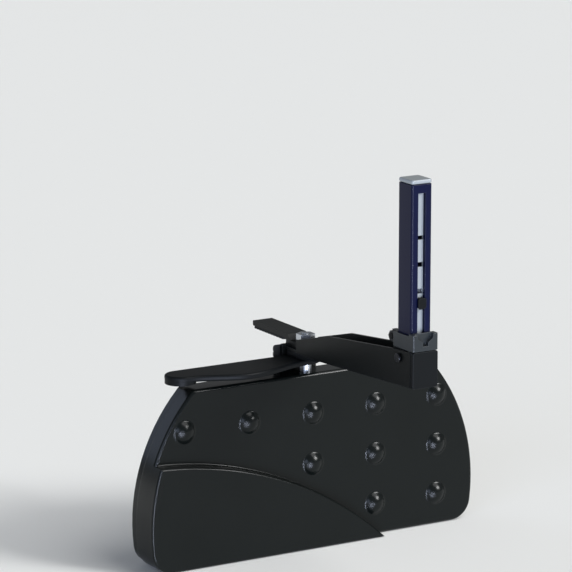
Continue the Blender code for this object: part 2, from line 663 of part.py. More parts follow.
def make_lever():
    """Leaf-shaped lever on a vertical spindle, held by a washer and nut above the arm."""
    tip = (-LEVER_LENGTH, LEVER_TIP_Y)
    outline = arc((0, SPINDLE_Y), HUB_R, -90, 90, 12)
    outline += arc(tip, LEVER_TIP_R, 90, 270, 10)
    outline += ease(outline[-1], (LEVER_BELLY_X, LEVER_BELLY_Y), 8)
    outline += ease(outline[-1], (0, SPINDLE_Y - HUB_R), 7)[:-1]
    lever = add_object("lever", slab(outline, LEVER_BOTTOM, LEVER_TOP, "Z"), black_plastic())
    round_edges(lever, 1.6 * MM, 3)
    lip = rod(LEVER_TIP_R - 0.2 * MM, (*tip, LEVER_BOTTOM - LEVER_LIP), LEVER_LIP + LEVER_THICK / 2)
    join(lever, lip)
    cut(lever, rod(JOURNAL_R + GAP, (0, SPINDLE_Y, LEVER_BOTTOM - MM), LEVER_THICK + 2 * MM))

    washer_bottom = SHELF_TOP + GAP
    nut_bottom = washer_bottom + WASHER + GAP
    stud_top = nut_bottom + NUT_HEIGHT + 0.6 * MM
    shelf_top = PLATE_BOTTOM + SHELF_LIFT + PLATE
    shelf_bottom = PLATE_BOTTOM
    profile = [(0, stud_top), (STUD_R, stud_top), (STUD_R, SHELF_TOP), (JOURNAL_R, SHELF_TOP),
               (JOURNAL_R, SPINDLE_SHOULDER), (SPINDLE_R, SPINDLE_SHOULDER),
               (SPINDLE_R, shelf_top + RUN_GAP), (STUD_R, shelf_top + RUN_GAP),
               (STUD_R, shelf_bottom), (0, shelf_bottom)]
    spindle = add_object("lever_spindle", turned(profile, 0, SPINDLE_Y), zinc_steel())
    washer = add_object("spindle_washer", rod(7.2 * MM, (0, SPINDLE_Y, washer_bottom), WASHER), zinc_steel())
    cut(washer, rod(STUD_R + GAP, (0, SPINDLE_Y, washer_bottom - MM), WASHER + 2 * MM))
    nut = add_object("spindle_nut", rod(7.0 * MM, (0, SPINDLE_Y, nut_bottom), NUT_HEIGHT, sides=6), zinc_steel())
    cut(nut, rod(STUD_R + GAP, (0, SPINDLE_Y, nut_bottom - MM), NUT_HEIGHT + 2 * MM))
    return [lever, spindle, washer, nut]


# ---- cover ---------------------------------------------------------------------------------
def disc_outline(inset):
    """The cover's outline: a disc with its top and bottom cut flat, moved in by an inset."""
    radius = COVER_R - inset
    half = []
    fillets = ((COVER_TOP - inset, max(COVER_TOP_FILLET - inset, MM), 90),
               (COVER_BOTTOM + inset, max(COVER_BOTTOM_FILLET - inset, MM), -90))
    centres = []
    for level, fillet, side in fillets:
        z = level - math.copysign(fillet, side)
        rise = z - COVER_CENTRE_Z
        x = math.sqrt((radius - fillet) ** 2 - rise ** 2)
        centres.append(((x, z), fillet, math.degrees(math.atan2(rise, x))))
    (top, top_r, top_turn), (bottom, bottom_r, bottom_turn) = centres
    half += arc(top, top_r, 90, top_turn, 4)
    half += arc((0, COVER_CENTRE_Z), radius, top_turn, bottom_turn, 15)[1:-1]
    half += arc(bottom, bottom_r, bottom_turn, -90, 5)
    return half + [(-x, z) for x, z in reversed(half)]


def dimples():
    """Spherical bumps in a grid, left out where the arched apron lies."""
    ball_r = (DIMPLE_R ** 2 + DIMPLE_HEIGHT ** 2) / (2 * DIMPLE_HEIGHT)
    centre_y = COVER_FRONT - DIMPLE_HEIGHT + ball_r
    build = bmesh.new()
    for row, columns in enumerate(((-2, -1, 0, 1, 2), (0, 1, 2), (1, 2))):
        for column in columns:
            place = Matrix.Translation((column * DIMPLE_PITCH_X, centre_y, DIMPLE_TOP_Z - row * DIMPLE_PITCH_Z))
            bmesh.ops.create_uvsphere(build, u_segments=20, v_segments=16, radius=ball_r,
                                      matrix=place @ AXIS_TURNS["Y"])
    bmesh.ops.bisect_plane(build, geom=build.verts[:] + build.edges[:] + build.faces[:],
                           plane_co=(0, COVER_FRONT + MM, 0), plane_no=(0, 1, 0), clear_outer=True)
    rims = [edge for edge in build.edges if edge.is_boundary]
    bmesh.ops.holes_fill(build, edges=rims, sides=0)
    mesh = bpy.data.meshes.new("dimples")
    build.to_mesh(mesh)
    build.free()
    return mesh


def apron(inset, front, back, rounding):
    """The raised field under an arch, inside the cover's outline: a cutter moved in by an inset."""
    centre = (APRON_CREST[0], APRON_CREST[1] - APRON_R)
    radius = APRON_R - inset
    below = COVER_BOTTOM - 9 * MM
    far = -COVER_R - 9 * MM
    start = math.degrees(math.acos((far - centre[0]) / radius))
    end = math.degrees(math.asin((below - centre[1]) / radius))
    field = cutter(slab(arc(centre, radius, start, end, 15) + [(far, below)], front, back + MM, "Y"))
    solid = cutter(slab(disc_outline(inset), front, back, "Y"))
    if rounding:
        round_edges(field, rounding, 2, 60)
        round_edges(solid, rounding, 2, 60)
    combine(solid, field, 'INTERSECT')
    return solid


def make_cover():
    """Dimpled front shell with its apron and bosses, the rear shell behind it and their screws."""
    shell = add_object("front_cover", slab(disc_outline(0), COVER_FRONT, COVER_BACK, "Y"), cover_plastic())
    round_edges(shell, COVER_EDGE, 3, 60)
    raised = apron(0, COVER_FRONT - APRON_RISE, COVER_FRONT + 2 * COVER_EDGE, APRON_EDGE)
    combine(shell, raised, 'UNION')
    cut(shell, slab(disc_outline(COVER_WALL), COVER_FRONT + COVER_WALL, COVER_BACK + 4 * MM, "Y"))
    room = apron(COVER_WALL, COVER_FRONT - APRON_RISE + COVER_WALL, COVER_FRONT + COVER_WALL + MM, 0)
    combine(shell, room, 'DIFFERENCE')
    reach = COVER_R + 5 * MM
    cut(shell, box((-reach, COVER_SEAM, COVER_BOTTOM - 5 * MM), (reach, COVER_BACK + 5 * MM, COVER_TOP + 5 * MM)))
    join(shell, dimples())
    rear_back = COVER_BACK
    rear_front = rear_back - REAR_COVER
    boss_end = rear_front - GAP
    for x, z in FRAME_SCREWS + COVER_SCREWS:
        boss_start = COVER_FRONT + COVER_WALL - MM
        if math.hypot(x - APRON_CREST[0], z - APRON_CREST[1] + APRON_R) < APRON_R:
            boss_start -= APRON_RISE
        join(shell, rod(BOSS_R, (x, boss_start, z), boss_end - boss_start, "Y", 16))
    for x, z in FRAME_SCREWS + COVER_SCREWS:
        cut(shell, rod(2.0 * MM, (x, boss_end - 12 * MM, z), 13 * MM, "Y", 12))

    rear = add_object("rear_cover", slab(disc_outline(COVER_SEAM_STEP), COVER_SEAM + GAP, rear_back, "Y"),
                      cover_plastic())
    cut(rear, slab(disc_outline(COVER_SEAM_STEP + REAR_COVER), COVER_SEAM - MM, rear_front, "Y"))
    for half_shell in (shell, rear):
        cut(half_shell, rod(SPINDLE_R + RUN_GAP, (0, SPINDLE_Y, COVER_TOP - COVER_WALL - MM), COVER_WALL + 2 * MM))
    shelf_half = 12.0 * MM + 2 * GAP
    cut(rear, box((-shelf_half, rear_front - MM, PLATE_BOTTOM - MM), (shelf_half, rear_back + MM, NECK_TOP + MM)))
    for x, z in FRAME_SCREWS + COVER_SCREWS:
        cut(rear, rod(SCREW_HOLE_R, (x, rear_front - MM, z), REAR_COVER + 2 * MM, "Y", 16))

    pieces = [shell, rear]
    for number, (x, z) in enumerate(COVER_SCREWS, 1):
        pieces.append(make_cover_screw(f"cover_screw_{number}", x, z, rear_back + GAP, 4.0 * MM, 2.2 * MM))
    for number, (x, z) in enumerate(FRAME_SCREWS, 1):
        pieces.append(make_cover_screw(f"frame_screw_{number}", x, z, PLATE_BACK + GAP, 4.4 * MM, 1.3 * MM))
    return pieces


def make_cover_screw(name, x, z, seat, head_r, head_height):
    """A pan-head screw from behind, driven into a boss."""
    shank_r = 1.7 * MM
    tip = COVER_BACK - REAR_COVER - GAP - 11 * MM
    screw = add_object(name, rod(head_r, (x, seat, z), head_height, "Y", 16), zinc_steel())
    round_edges(screw, 0.5 * MM, 1)
    join(screw, rod(shank_r, (x, tip, z), seat + head_height / 2 - tip, "Y", 12))
    return screw


# ---- lower jaw, screw and knob -------------------------------------------------------------
def make_lower_jaw():
    """Carriage on the spindle, a neck through the frame's slot and a foot below the mouth."""
    carriage_back = COVER_BACK - REAR_COVER - 1.0 * MM
    carriage_front = COVER_FRONT + COVER_WALL + GAP
    top = LOWER_JAW_Z + CARRIAGE_RISE
    bottom = LOWER_JAW_Z - LOWER_JAW_THICK - 2.0 * MM
    half = CARRIAGE_WIDTH / 2
    plan = round_corners(rectangle(half, carriage_front, carriage_back), 2.0 * MM, 3)
    jaw = add_object("lower_jaw", slab(plan, bottom, top, "Z"), black_paint())
    foot_half = JAW_FOOT_WIDTH / 2
    tip_half = JAW_FOOT_TIP / 2
    foot_end = SCREW_Y + JAW_FOOT_PAST_SCREW
    foot = round_corners([(-foot_half, 1.0 * MM), (foot_half, 1.0 * MM), (foot_half, foot_half),
                          (tip_half, foot_end), (-tip_half, foot_end), (-foot_half, foot_half)],
                         4.0 * MM, 3)
    join(jaw, box((-NECK_HALF, carriage_back - MM, NECK_BOTTOM), (NECK_HALF, 3.0 * MM, NECK_TOP)))
    join(jaw, slab(foot, LOWER_JAW_Z - LOWER_JAW_THICK, LOWER_JAW_Z, "Z"))
    join(jaw, rod(10.0 * MM, (0, SCREW_Y, LOWER_JAW_Z - LOWER_JAW_THICK - 10 * MM), 12 * MM))
    seat = LOWER_JAW_Z + 2.0 * MM
    cut(jaw, rod(SPINDLE_R + 2 * GAP, (0, SPINDLE_Y, bottom - MM), top - bottom + 2 * MM))
    cut(jaw, rod(JAW_NUT_R + GAP, (0, SPINDLE_Y, seat), top - seat + MM))
    cut(jaw, rod(SCREW_R + GAP, (0, SCREW_Y, LOWER_JAW_Z - 25 * MM), 30 * MM))
    nut = add_object("jaw_nut", rod(JAW_NUT_R, (0, SPINDLE_Y, seat + GAP), top - seat - 2 * GAP), brass())
    cut(nut, rod(SPINDLE_R + GAP, (0, SPINDLE_Y, seat - MM), top - seat + 2 * MM))
    return [jaw, nut]


def make_pressure_pad():
    """Swivel cup on the clamp screw's end, faced with rubber."""
    rim = PRESSURE_R - 1.5 * MM
    hub_r = 8.0 * MM
    hub_bottom = CUP_BOTTOM - 4.6 * MM
    bore_r = SCREW_NECK_R + GAP
    profile = [(0, CUP_TOP), (rim, CUP_TOP), (PRESSURE_R, CUP_TOP - 1.5 * MM), (PRESSURE_R, CUP_BOTTOM),
               (hub_r, CUP_BOTTOM - 1.2 * MM), (hub_r, hub_bottom), (bore_r, hub_bottom),
               (bore_r, CUP_TOP - 1.9 * MM), (0, CUP_TOP - 1.9 * MM)]
    cup = add_object("pressure_pad", turned(profile, 0, SCREW_Y, 32), zinc_steel())
    disc = add_object("pad_rubber", rod(PRESSURE_R - 0.8 * MM, (0, SCREW_Y, CUP_TOP + GAP),
                                        PAD_TOP_Z - CUP_TOP - GAP, sides=32), rubber())
    round_edges(disc, 0.5 * MM, 1)
    return [cup, disc]


def make_clamp_screw():
    """Vertical screw under the foot with its moulded knob."""
    neck_top = CUP_TOP - 1.9 * MM - GAP
    neck_bottom = CUP_BOTTOM - 4.6 * MM - GAP
    end_r = SCREW_R - 1.0 * MM
    end = SCREW_BOTTOM - KNOB_HEIGHT + 3.0 * MM
    profile = [(0, neck_top), (SCREW_NECK_R, neck_top), (SCREW_NECK_R, neck_bottom), (SCREW_R, neck_bottom),
               (SCREW_R, SCREW_BOTTOM + 2.0 * MM + GAP), (end_r, SCREW_BOTTOM + 2.0 * MM + GAP),
               (end_r, end), (0, end)]
    screw = add_object("clamp_screw", turned(profile, 0, SCREW_Y), zinc_steel())
    points = []
    steps = 12 * KNOB_LOBES
    for step in range(steps):
        turn = 2 * math.pi * step / steps
        reach = KNOB_R - 1.6 * MM * (1 - math.cos(KNOB_LOBES * turn))
        points.append((reach * math.cos(turn), SCREW_Y + reach * math.sin(turn)))
    knob = add_object("clamp_knob", slab(points, SCREW_BOTTOM - KNOB_HEIGHT, SCREW_BOTTOM, "Z"), black_plastic())
    round_edges(knob, 2.0 * MM, 3, 60)
    join(knob, rod(9.0 * MM, (0, SCREW_Y, SCREW_BOTTOM - MM), 3.0 * MM))
    cut(knob, rod(end_r + GAP, (0, SCREW_Y, end - GAP), SCREW_BOTTOM + 4 * MM - end))
    return [screw, knob]


# ---- assembly ------------------------------------------------------------------------------
def body(name, origin, pieces, parent=None):
    """Hang the pieces of one rigid body on an empty that stands on its joint's axis."""
    empty = bpy.data.objects.new(name, None)
    PARTS.objects.link(empty)
    empty.location = origin
    if parent:
        empty.parent = parent
        empty.location = Vector(origin) - parent.matrix_world.translation
    bpy.context.view_layer.update()
    for piece in pieces:
        piece.parent = empty
        piece.matrix_parent_inverse = empty.matrix_world.inverted()
    return empty


def main():
    clear_scene()
    collar, collar_screw = make_collar()
    fixed = [make_clamp_frame(), *make_pads(), *make_arm(), *make_socket(), *collar, *make_cover()]
    root = body("clamp_body", (0, 0, 0), fixed)
    body("lever_body", (0, SPINDLE_Y, LEVER_TOP), make_lever(), root)
    jaw = body("jaw_body", (0, SPINDLE_Y, LOWER_JAW_Z), make_lower_jaw(), root)
    pad = body("pad_body", (0, SCREW_Y, PAD_TOP_Z), make_pressure_pad(), jaw)
    body("screw_body", (0, SCREW_Y, SCREW_BOTTOM), make_clamp_screw(), pad)
    body("collar_screw_body", (0, EAR_Y, EAR_Z), [collar_screw], root)
    body("post_body", (0, (POST_INNER_Y + POST_OUTER_Y) / 2, POST_BOTTOM), make_post(), root)


main()
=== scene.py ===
"""Finished look of a table tennis net clamp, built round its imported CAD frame."""
import json
import math

import bmesh
import bpy
from bpy.props import FloatProperty, FloatVectorProperty, IntProperty, PointerProperty
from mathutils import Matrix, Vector

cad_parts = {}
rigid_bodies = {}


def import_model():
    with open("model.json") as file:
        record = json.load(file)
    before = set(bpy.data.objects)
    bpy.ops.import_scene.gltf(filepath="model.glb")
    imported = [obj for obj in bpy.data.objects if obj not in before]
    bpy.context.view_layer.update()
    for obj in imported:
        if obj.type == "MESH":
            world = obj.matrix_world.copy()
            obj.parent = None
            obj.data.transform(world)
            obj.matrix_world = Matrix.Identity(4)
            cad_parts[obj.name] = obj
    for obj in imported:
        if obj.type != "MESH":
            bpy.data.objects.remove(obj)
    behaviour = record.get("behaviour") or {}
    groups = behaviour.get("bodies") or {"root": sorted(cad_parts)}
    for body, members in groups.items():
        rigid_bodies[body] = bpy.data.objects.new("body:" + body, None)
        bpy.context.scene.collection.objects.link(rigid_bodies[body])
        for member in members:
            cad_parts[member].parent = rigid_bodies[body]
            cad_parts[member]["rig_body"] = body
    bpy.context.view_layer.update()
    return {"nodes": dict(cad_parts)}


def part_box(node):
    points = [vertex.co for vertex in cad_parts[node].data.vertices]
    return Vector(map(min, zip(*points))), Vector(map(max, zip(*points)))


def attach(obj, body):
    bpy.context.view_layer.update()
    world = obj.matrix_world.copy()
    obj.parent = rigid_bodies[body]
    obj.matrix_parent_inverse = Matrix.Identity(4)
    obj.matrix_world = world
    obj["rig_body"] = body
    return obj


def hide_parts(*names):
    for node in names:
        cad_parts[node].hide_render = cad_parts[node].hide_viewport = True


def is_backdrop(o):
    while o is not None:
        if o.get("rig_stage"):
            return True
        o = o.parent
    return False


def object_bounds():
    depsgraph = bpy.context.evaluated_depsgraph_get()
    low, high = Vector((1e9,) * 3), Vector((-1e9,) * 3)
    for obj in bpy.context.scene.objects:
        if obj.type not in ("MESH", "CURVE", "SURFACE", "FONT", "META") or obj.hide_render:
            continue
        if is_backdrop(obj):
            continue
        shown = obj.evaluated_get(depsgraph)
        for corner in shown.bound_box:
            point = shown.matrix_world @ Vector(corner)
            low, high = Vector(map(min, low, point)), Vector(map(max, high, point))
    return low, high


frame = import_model()

bl_info = {
    "name": "Table tennis net clamp",
    "version": (1, 0, 0),
    "blender": (4, 5, 0),
    "location": "View3D > Sidebar > Net clamp",
    "description": "Models the finished pieces of a net clamp and sets up its studio",
    "category": "Add Mesh",
}

MM = 0.001
PAST = 1 * MM    # how far a cutter, or the root of a joined piece, runs past the surface it meets


# ---- settings ------------------------------------------------------------------------------
def linear(code):
    """Turn an sRGB hex code into linear RGB."""
    shares = [int(code[i:i + 2], 16) / 255 for i in (1, 3, 5)]
    return tuple(s / 12.92 if s <= 0.04045 else ((s + 0.055) / 1.055) ** 2.4 for s in shares)


def length(name, description, default):
    """A length property in metres."""
    return FloatProperty(name=name, description=description, default=default, unit='LENGTH',
                         precision=5)


def colour(name, description, code):
    """A colour property with its default as an sRGB hex code."""
    return FloatVectorProperty(name=name, description=description, default=linear(code),
                               subtype='COLOR', size=3, min=0.0, max=1.0)


class NetClampSizes(bpy.types.PropertyGroup):
    """Sizes of the cover's relief, the threads and the small roundings."""
    cover_radius: length("Cover radius", "Outline radius of the disc-shaped cover", 139.5 * MM)
    cover_centre: length("Cover centre", "Height of the cover's centre", -118.0 * MM)
    cover_wall: length("Cover wall", "Thickness of the cover's wall", 3.0 * MM)
    cover_rounding: length("Cover rounding", "Rounding of the cover's front edge", 2.4 * MM)
    cover_depth: length("Cover depth", "Rim of the front shell, from panel to seam", 15.0 * MM)
    seam_edge: length("Seam edge", "Rounding of the front shell's rear edge", 1.4 * MM)
    dimple_radius: length("Dimple radius", "Radius of a dimple at its foot", 8.4 * MM)
    dimple_height: length("Dimple height", "How far a dimple stands out", 3.8 * MM)
    dimple_foot: length("Dimple foot", "Radius of the fillet round a dimple's foot", 3.0 * MM)
    apron_rise: length("Apron rise", "How far the arched apron stands out of the panel", 10.0 * MM)
    apron_radius: length("Apron radius", "Radius of the apron's arch", 292.0 * MM)
    apron_edge: length("Apron edge", "Rounding of the apron's front edge", 1.6 * MM)
    apron_foot: length("Apron foot", "Fillet where the apron meets the panel", 1.2 * MM)
    edge: length("Edge rounding", "Rounding of the other pieces' edges", 0.3 * MM)
    screw_pitch: length("Clamp screw pitch", "Rise of the clamp screw's thread", 3.0 * MM)
    screw_depth: length("Clamp screw depth", "Depth of the clamp screw's thread", 1.1 * MM)
    stud_pitch: length("Stud pitch", "Rise of the spindle stud's thread", 1.0 * MM)
    rib_pitch: length("Rib pitch", "Distance between the rubber pads' grooves", 4.0 * MM)
    rib_depth: length("Rib depth", "Depth of the rubber pads' grooves", 0.6 * MM)
    smoothness: IntProperty(name="Smoothness", description="Sides of a dimple", default=56,
                            min=16, max=128)


class NetClampColours(bpy.types.PropertyGroup):
    """Base colours of the finishes."""
    cover: colour("Cover", "Moulded ABS of the cover", "#0b0e0d")
    paint: colour("Paint", "Powder coat on the steel", "#0a0c0b")
    nylon: colour("Nylon", "Moulded nylon of the lever, knob and socket", "#0c0e0f")
    navy: colour("Navy", "Lacquer on the post", "#050a27")
    acetal: colour("Acetal", "Rack and cap", "#868b8d")
    collar: colour("Collar", "Moulded collar", "#212527")
    zinc: colour("Zinc", "Plated steel", "#bfc3c8")
    oxide: colour("Oxide", "Black-oxide steel of the socket's fasteners", "#2a2b2e")
    brass: colour("Brass", "Turned nut", "#c8a86a")
    rubber: colour("Rubber", "Pads", "#151616")
    floor: colour("Floor", "Studio floor", "#e6e6e3")


def sizes():
    """The clamp's sizes, as set in the scene."""
    return bpy.context.scene.net_clamp_sizes


def colours():
    """The finishes' colours, as set in the scene."""
    return bpy.context.scene.net_clamp_colours


# ---- materials -----------------------------------------------------------------------------
DRIFT = 45 * MM             # size of the slow changes in colour and roughness
# Edges are drawn lighter where the rounded normal turns from the true one. This is partly rubbed
# wear and partly a painted highlight on the roundings.
WEAR_AND_HIGHLIGHT_REACH = 0.5 * MM       # how far from an edge it is lighter: rubbed wear and painted highlight
WEAR_AND_HIGHLIGHT_FROM = 0.985           # cosine between true and rounded normal where the lightening starts
WEAR_AND_HIGHLIGHT_FULL = 0.90            # and where it is at its strongest
WEAR_AND_HIGHLIGHT_SHARE = 0.55
FACTOR, COLOUR_A, COLOUR_B, COLOUR_OUT = 0, 6, 7, 2    # sockets of a Mix node in colour mode


def add_node(tree, kind, settings=None, links=None):
    """Add a shader node, set its values and connect its inputs."""
    node = tree.nodes.new(kind)
    for key, value in (settings or {}).items():
        if hasattr(node, key):
            setattr(node, key, value)
        else:
            node.inputs[key].default_value = value
    for key, source in (links or {}).items():
        tree.links.new(source, node.inputs[key])
    return node


def finish_material(name, base, roughness, shader_values, grain, depth, wear_and_highlight_colour, stretch=(1, 1, 1),
                    rough_spread=0.06, tint_spread=0.12):
    """One surface finish: base colour with slow drift, grain as bump, and lighter edges.

    grain is the pattern's size in metres, depth its height, and the colour after them that of the
    lighter edges: partly rubbed wear, partly a painted highlight on the roundings.
    """
    found = bpy.data.materials.get(name)
    if found:
        return found
    made = bpy.data.materials.new(name)
    made.use_nodes = True
    tree = made.node_tree
    shader = tree.nodes["Principled BSDF"]
    for key, value in shader_values.items():
        shader.inputs[key].default_value = value
    place = add_node(tree, "ShaderNodeTexCoord").outputs["Object"]
    drawn = add_node(tree, "ShaderNodeMapping", {"Scale": stretch}, {"Vector": place})
    drift = add_node(tree, "ShaderNodeTexNoise", {"Scale": 1 / DRIFT, "Detail": 3.0},
                     {"Vector": place})
    fine = add_node(tree, "ShaderNodeTexNoise",
                    {"Scale": 1 / grain, "Detail": 2.0, "Roughness": 0.6},
                    {"Vector": drawn.outputs["Vector"]})
    darker = [c * (1 - tint_spread) for c in base]
    lighter = [min(1.0, c * (1 + tint_spread)) for c in base]
    body = add_node(tree, "ShaderNodeMix", {"data_type": 'RGBA'})
    body.inputs[COLOUR_A].default_value = (*darker, 1)
    body.inputs[COLOUR_B].default_value = (*lighter, 1)
    tree.links.new(drift.outputs["Fac"], body.inputs[FACTOR])

    # Lighter edges where the rounded normal turns from the true one: partly rubbed wear, partly a
    # painted highlight on the roundings.
    rounded = add_node(tree, "ShaderNodeBevel", {"samples": 4, "Radius": WEAR_AND_HIGHLIGHT_REACH})
    flat = add_node(tree, "ShaderNodeNewGeometry")
    turn = add_node(tree, "ShaderNodeVectorMath", {"operation": 'DOT_PRODUCT'})
    tree.links.new(rounded.outputs["Normal"], turn.inputs[0])
    tree.links.new(flat.outputs["Normal"], turn.inputs[1])
    wear_and_highlight = add_node(tree, "ShaderNodeMapRange",
                   {"From Min": WEAR_AND_HIGHLIGHT_FROM, "From Max": WEAR_AND_HIGHLIGHT_FULL, "To Max": WEAR_AND_HIGHLIGHT_SHARE},
                   {"Value": turn.outputs["Value"]})
    patchy_wear_and_highlight = add_node(tree, "ShaderNodeMath", {"operation": 'MULTIPLY'},
                      {0: wear_and_highlight.outputs["Result"], 1: drift.outputs["Fac"]})
    edge_wear_and_highlight = add_node(tree, "ShaderNodeMix", {"data_type": 'RGBA'})
    edge_wear_and_highlight.inputs[COLOUR_B].default_value = (*wear_and_highlight_colour, 1)
    tree.links.new(patchy_wear_and_highlight.outputs["Value"], edge_wear_and_highlight.inputs[FACTOR])
    tree.links.new(body.outputs[COLOUR_OUT], edge_wear_and_highlight.inputs[COLOUR_A])
    tree.links.new(edge_wear_and_highlight.outputs[COLOUR_OUT], shader.inputs["Base Color"])

    rough = add_node(tree, "ShaderNodeMapRange",
                     {"To Min": roughness - rough_spread, "To Max": roughness + rough_spread},
                     {"Value": drift.outputs["Fac"]})
    tree.links.new(rough.outputs["Result"], shader.inputs["Roughness"])
    bump = add_node(tree, "ShaderNodeBump", {"Strength": 1.0, "Distance": depth},
                    {"Height": fine.outputs["Fac"]})
    tree.links.new(bump.outputs["Normal"], shader.inputs["Normal"])
    return made


def blend_colour(first, second, share):
    """Mix two colours."""
    return tuple(a + (b - a) * share for a, b in zip(first, second))


# Each finish's edge colour below is partly rubbed wear and partly a painted highlight on its
# rounded edges.
def moulded_abs():
    # Injection-moulded ABS: semi-gloss, with spark-eroded grain. The real grain is about 0.1 mm.
    # It is drawn at 0.9 mm so that it still breaks up the highlights at this distance.
    base = tuple(colours().cover)
    return finish_material("moulded ABS, dark grey", base, 0.22,
                           {"IOR": 1.54, "Metallic": 0.0, "Specular IOR Level": 0.17},
                           grain=0.9 * MM, depth=0.012 * MM,
                           wear_and_highlight_colour=blend_colour(base, (0.3, 0.33, 0.36), 0.12))


def powder_coated_steel():
    # Polyester powder coat: its orange peel has waves of about 1.5 mm, which soften reflections.
    base = tuple(colours().paint)
    return finish_material("powder-coated steel, black", base, 0.38,
                           {"IOR": 1.5, "Metallic": 0.0, "Specular IOR Level": 0.15},
                           grain=1.5 * MM, depth=0.03 * MM,
                           wear_and_highlight_colour=blend_colour(base, (0.25, 0.26, 0.27), 0.2))


def moulded_nylon():
    # Glass-filled nylon: duller than ABS, with a slightly fibrous surface at about 1.2 mm.
    base = tuple(colours().nylon)
    return finish_material("moulded nylon, black", base, 0.43,
                           {"IOR": 1.53, "Metallic": 0.0, "Specular IOR Level": 0.1},
                           grain=1.2 * MM, depth=0.02 * MM,
                           wear_and_highlight_colour=blend_colour(base, (0.2, 0.22, 0.24), 0.2))


def lacquered_aluminium():
    # Extruded aluminium under tinted lacquer: draw lines run along the post, 0.7 mm apart here.
    base = tuple(colours().navy)
    return finish_material("lacquered aluminium, navy", base, 0.3,
                           {"IOR": 1.5, "Metallic": 0.0, "Specular IOR Level": 0.12,
                            "Coat Weight": 0.05, "Coat Roughness": 0.12},
                           grain=0.7 * MM, depth=0.008 * MM,
                           wear_and_highlight_colour=blend_colour(base, (0.3, 0.31, 0.4), 0.15), stretch=(1, 1, 0.03))


def moulded_acetal():
    # Acetal: pale, smooth and waxy, with faint flow marks.
    base = tuple(colours().acetal)
    return finish_material("moulded acetal, light grey", base, 0.34, {"IOR": 1.48, "Metallic": 0.0},
                           grain=2.5 * MM, depth=0.02 * MM,
                           wear_and_highlight_colour=blend_colour(base, (0.75, 0.77, 0.78), 0.4), stretch=(1, 1, 0.2),
                           tint_spread=0.05)


def collar_plastic():
    # Moulded nylon in mid grey, handled often and so a little polished.
    base = tuple(colours().collar)
    return finish_material("moulded nylon, mid grey", base, 0.3,
                           {"IOR": 1.53, "Metallic": 0.0, "Specular IOR Level": 0.3},
                           grain=1.2 * MM, depth=0.02 * MM,
                           wear_and_highlight_colour=blend_colour(base, (0.5, 0.52, 0.54), 0.3))


def zinc_plated_steel():
    # Bright zinc: a metal with a bluish cast and fine turning marks, drawn 0.5 mm apart.
    base = tuple(colours().zinc)
    return finish_material("zinc-plated steel", base, 0.3, {"Metallic": 1.0},
                           grain=0.5 * MM, depth=0.006 * MM,
                           wear_and_highlight_colour=blend_colour(base, (0.8, 0.8, 0.82), 0.5), stretch=(1, 1, 6),
                           rough_spread=0.08, tint_spread=0.08)


def black_oxide_steel():
    # Black-oxide steel: an oiled dark film on the metal, which still gives a sharp grey shine.
    base = tuple(colours().oxide)
    return finish_material("black-oxide steel", base, 0.3, {"Metallic": 0.85},
                           grain=0.5 * MM, depth=0.006 * MM,
                           wear_and_highlight_colour=blend_colour(base, (0.45, 0.46, 0.48), 0.4), stretch=(1, 1, 6),
                           rough_spread=0.08, tint_spread=0.1)


def turned_brass():
    # Brass turned from bar: warm metal, tarnished in patches.
    base = tuple(colours().brass)
    return finish_material("turned brass", base, 0.32, {"Metallic": 1.0},
                           grain=0.5 * MM, depth=0.006 * MM,
                           wear_and_highlight_colour=blend_colour(base, (0.85, 0.75, 0.5), 0.4), stretch=(1, 1, 6),
                           rough_spread=0.08, tint_spread=0.15)


def nitrile_rubber():
    # Nitrile rubber: matte and dusty, with a pebbled moulding skin of about 1 mm.
    base = tuple(colours().rubber)
    return finish_material("nitrile rubber, black", base, 0.78, {"IOR": 1.52, "Metallic": 0.0},
                           grain=1.0 * MM, depth=0.04 * MM,
                           wear_and_highlight_colour=blend_colour(base, (0.12, 0.12, 0.12), 0.4))


# ---- modelling helpers ---------------------------------------------------------------------
CAD_MERGE = 0.005 * MM      # vertices closer than this are one in a copied CAD mesh
MERGE = 0.004 * MM          # and after a Boolean
SLIVER = 0.002 * MM         # edges and faces thinner than this are dissolved after a Boolean
TURNED_MERGE = 0.01 * MM    # vertices closer than this are one in a turned or threaded solid
COPLANAR_ANGLE = 0.3        # degrees: CAD triangles this flat to each other become one face
SMOOTH_ANGLE = 38           # degrees: edges sharper than this stay sharp in the shading
ON_LEVEL = 0.01 * MM        # how near a level a vertex has to be to count as on it
ROOT_END, CREST_START, CREST_END = 0.36, 0.5, 0.86    # a thread's profile, as shares of its pitch


def only(piece):
    """Make one object the whole selection."""
    bpy.ops.object.select_all(action='DESELECT')
    piece.select_set(True)
    bpy.context.view_layer.objects.active = piece


def edit(piece):
    """Enter edit mode with everything selected."""
    only(piece)
    bpy.ops.object.mode_set(mode='EDIT')
    bpy.ops.mesh.select_all(action='SELECT')


def leave():
    """Go back to object mode."""
    bpy.ops.object.mode_set(mode='OBJECT')


def choose(piece, kind, test):
    """In edit mode, select the vertices, edges or faces that pass a test."""
    bpy.ops.mesh.select_mode(type={"verts": 'VERT', "edges": 'EDGE', "faces": 'FACE'}[kind])
    bpy.ops.mesh.select_all(action='DESELECT')
    mesh = bmesh.from_edit_mesh(piece.data)
    for element in getattr(mesh, kind):
        if test(element):
            element.select_set(True)
    mesh.select_flush_mode()
    bmesh.update_edit_mesh(piece.data)


def apply_all(piece):
    """Apply a piece's modifiers in their order."""
    only(piece)
    for modifier in list(piece.modifiers):
        bpy.ops.object.modifier_apply(modifier=modifier.name)


def centre_of(node):
    """Centre of a CAD node's box."""
    return sum(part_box(node), Vector()) / 2


def four_of(family):
    """Names of the four screws of one kind."""
    return [f"{family}_{number}" for number in range(1, 5)]


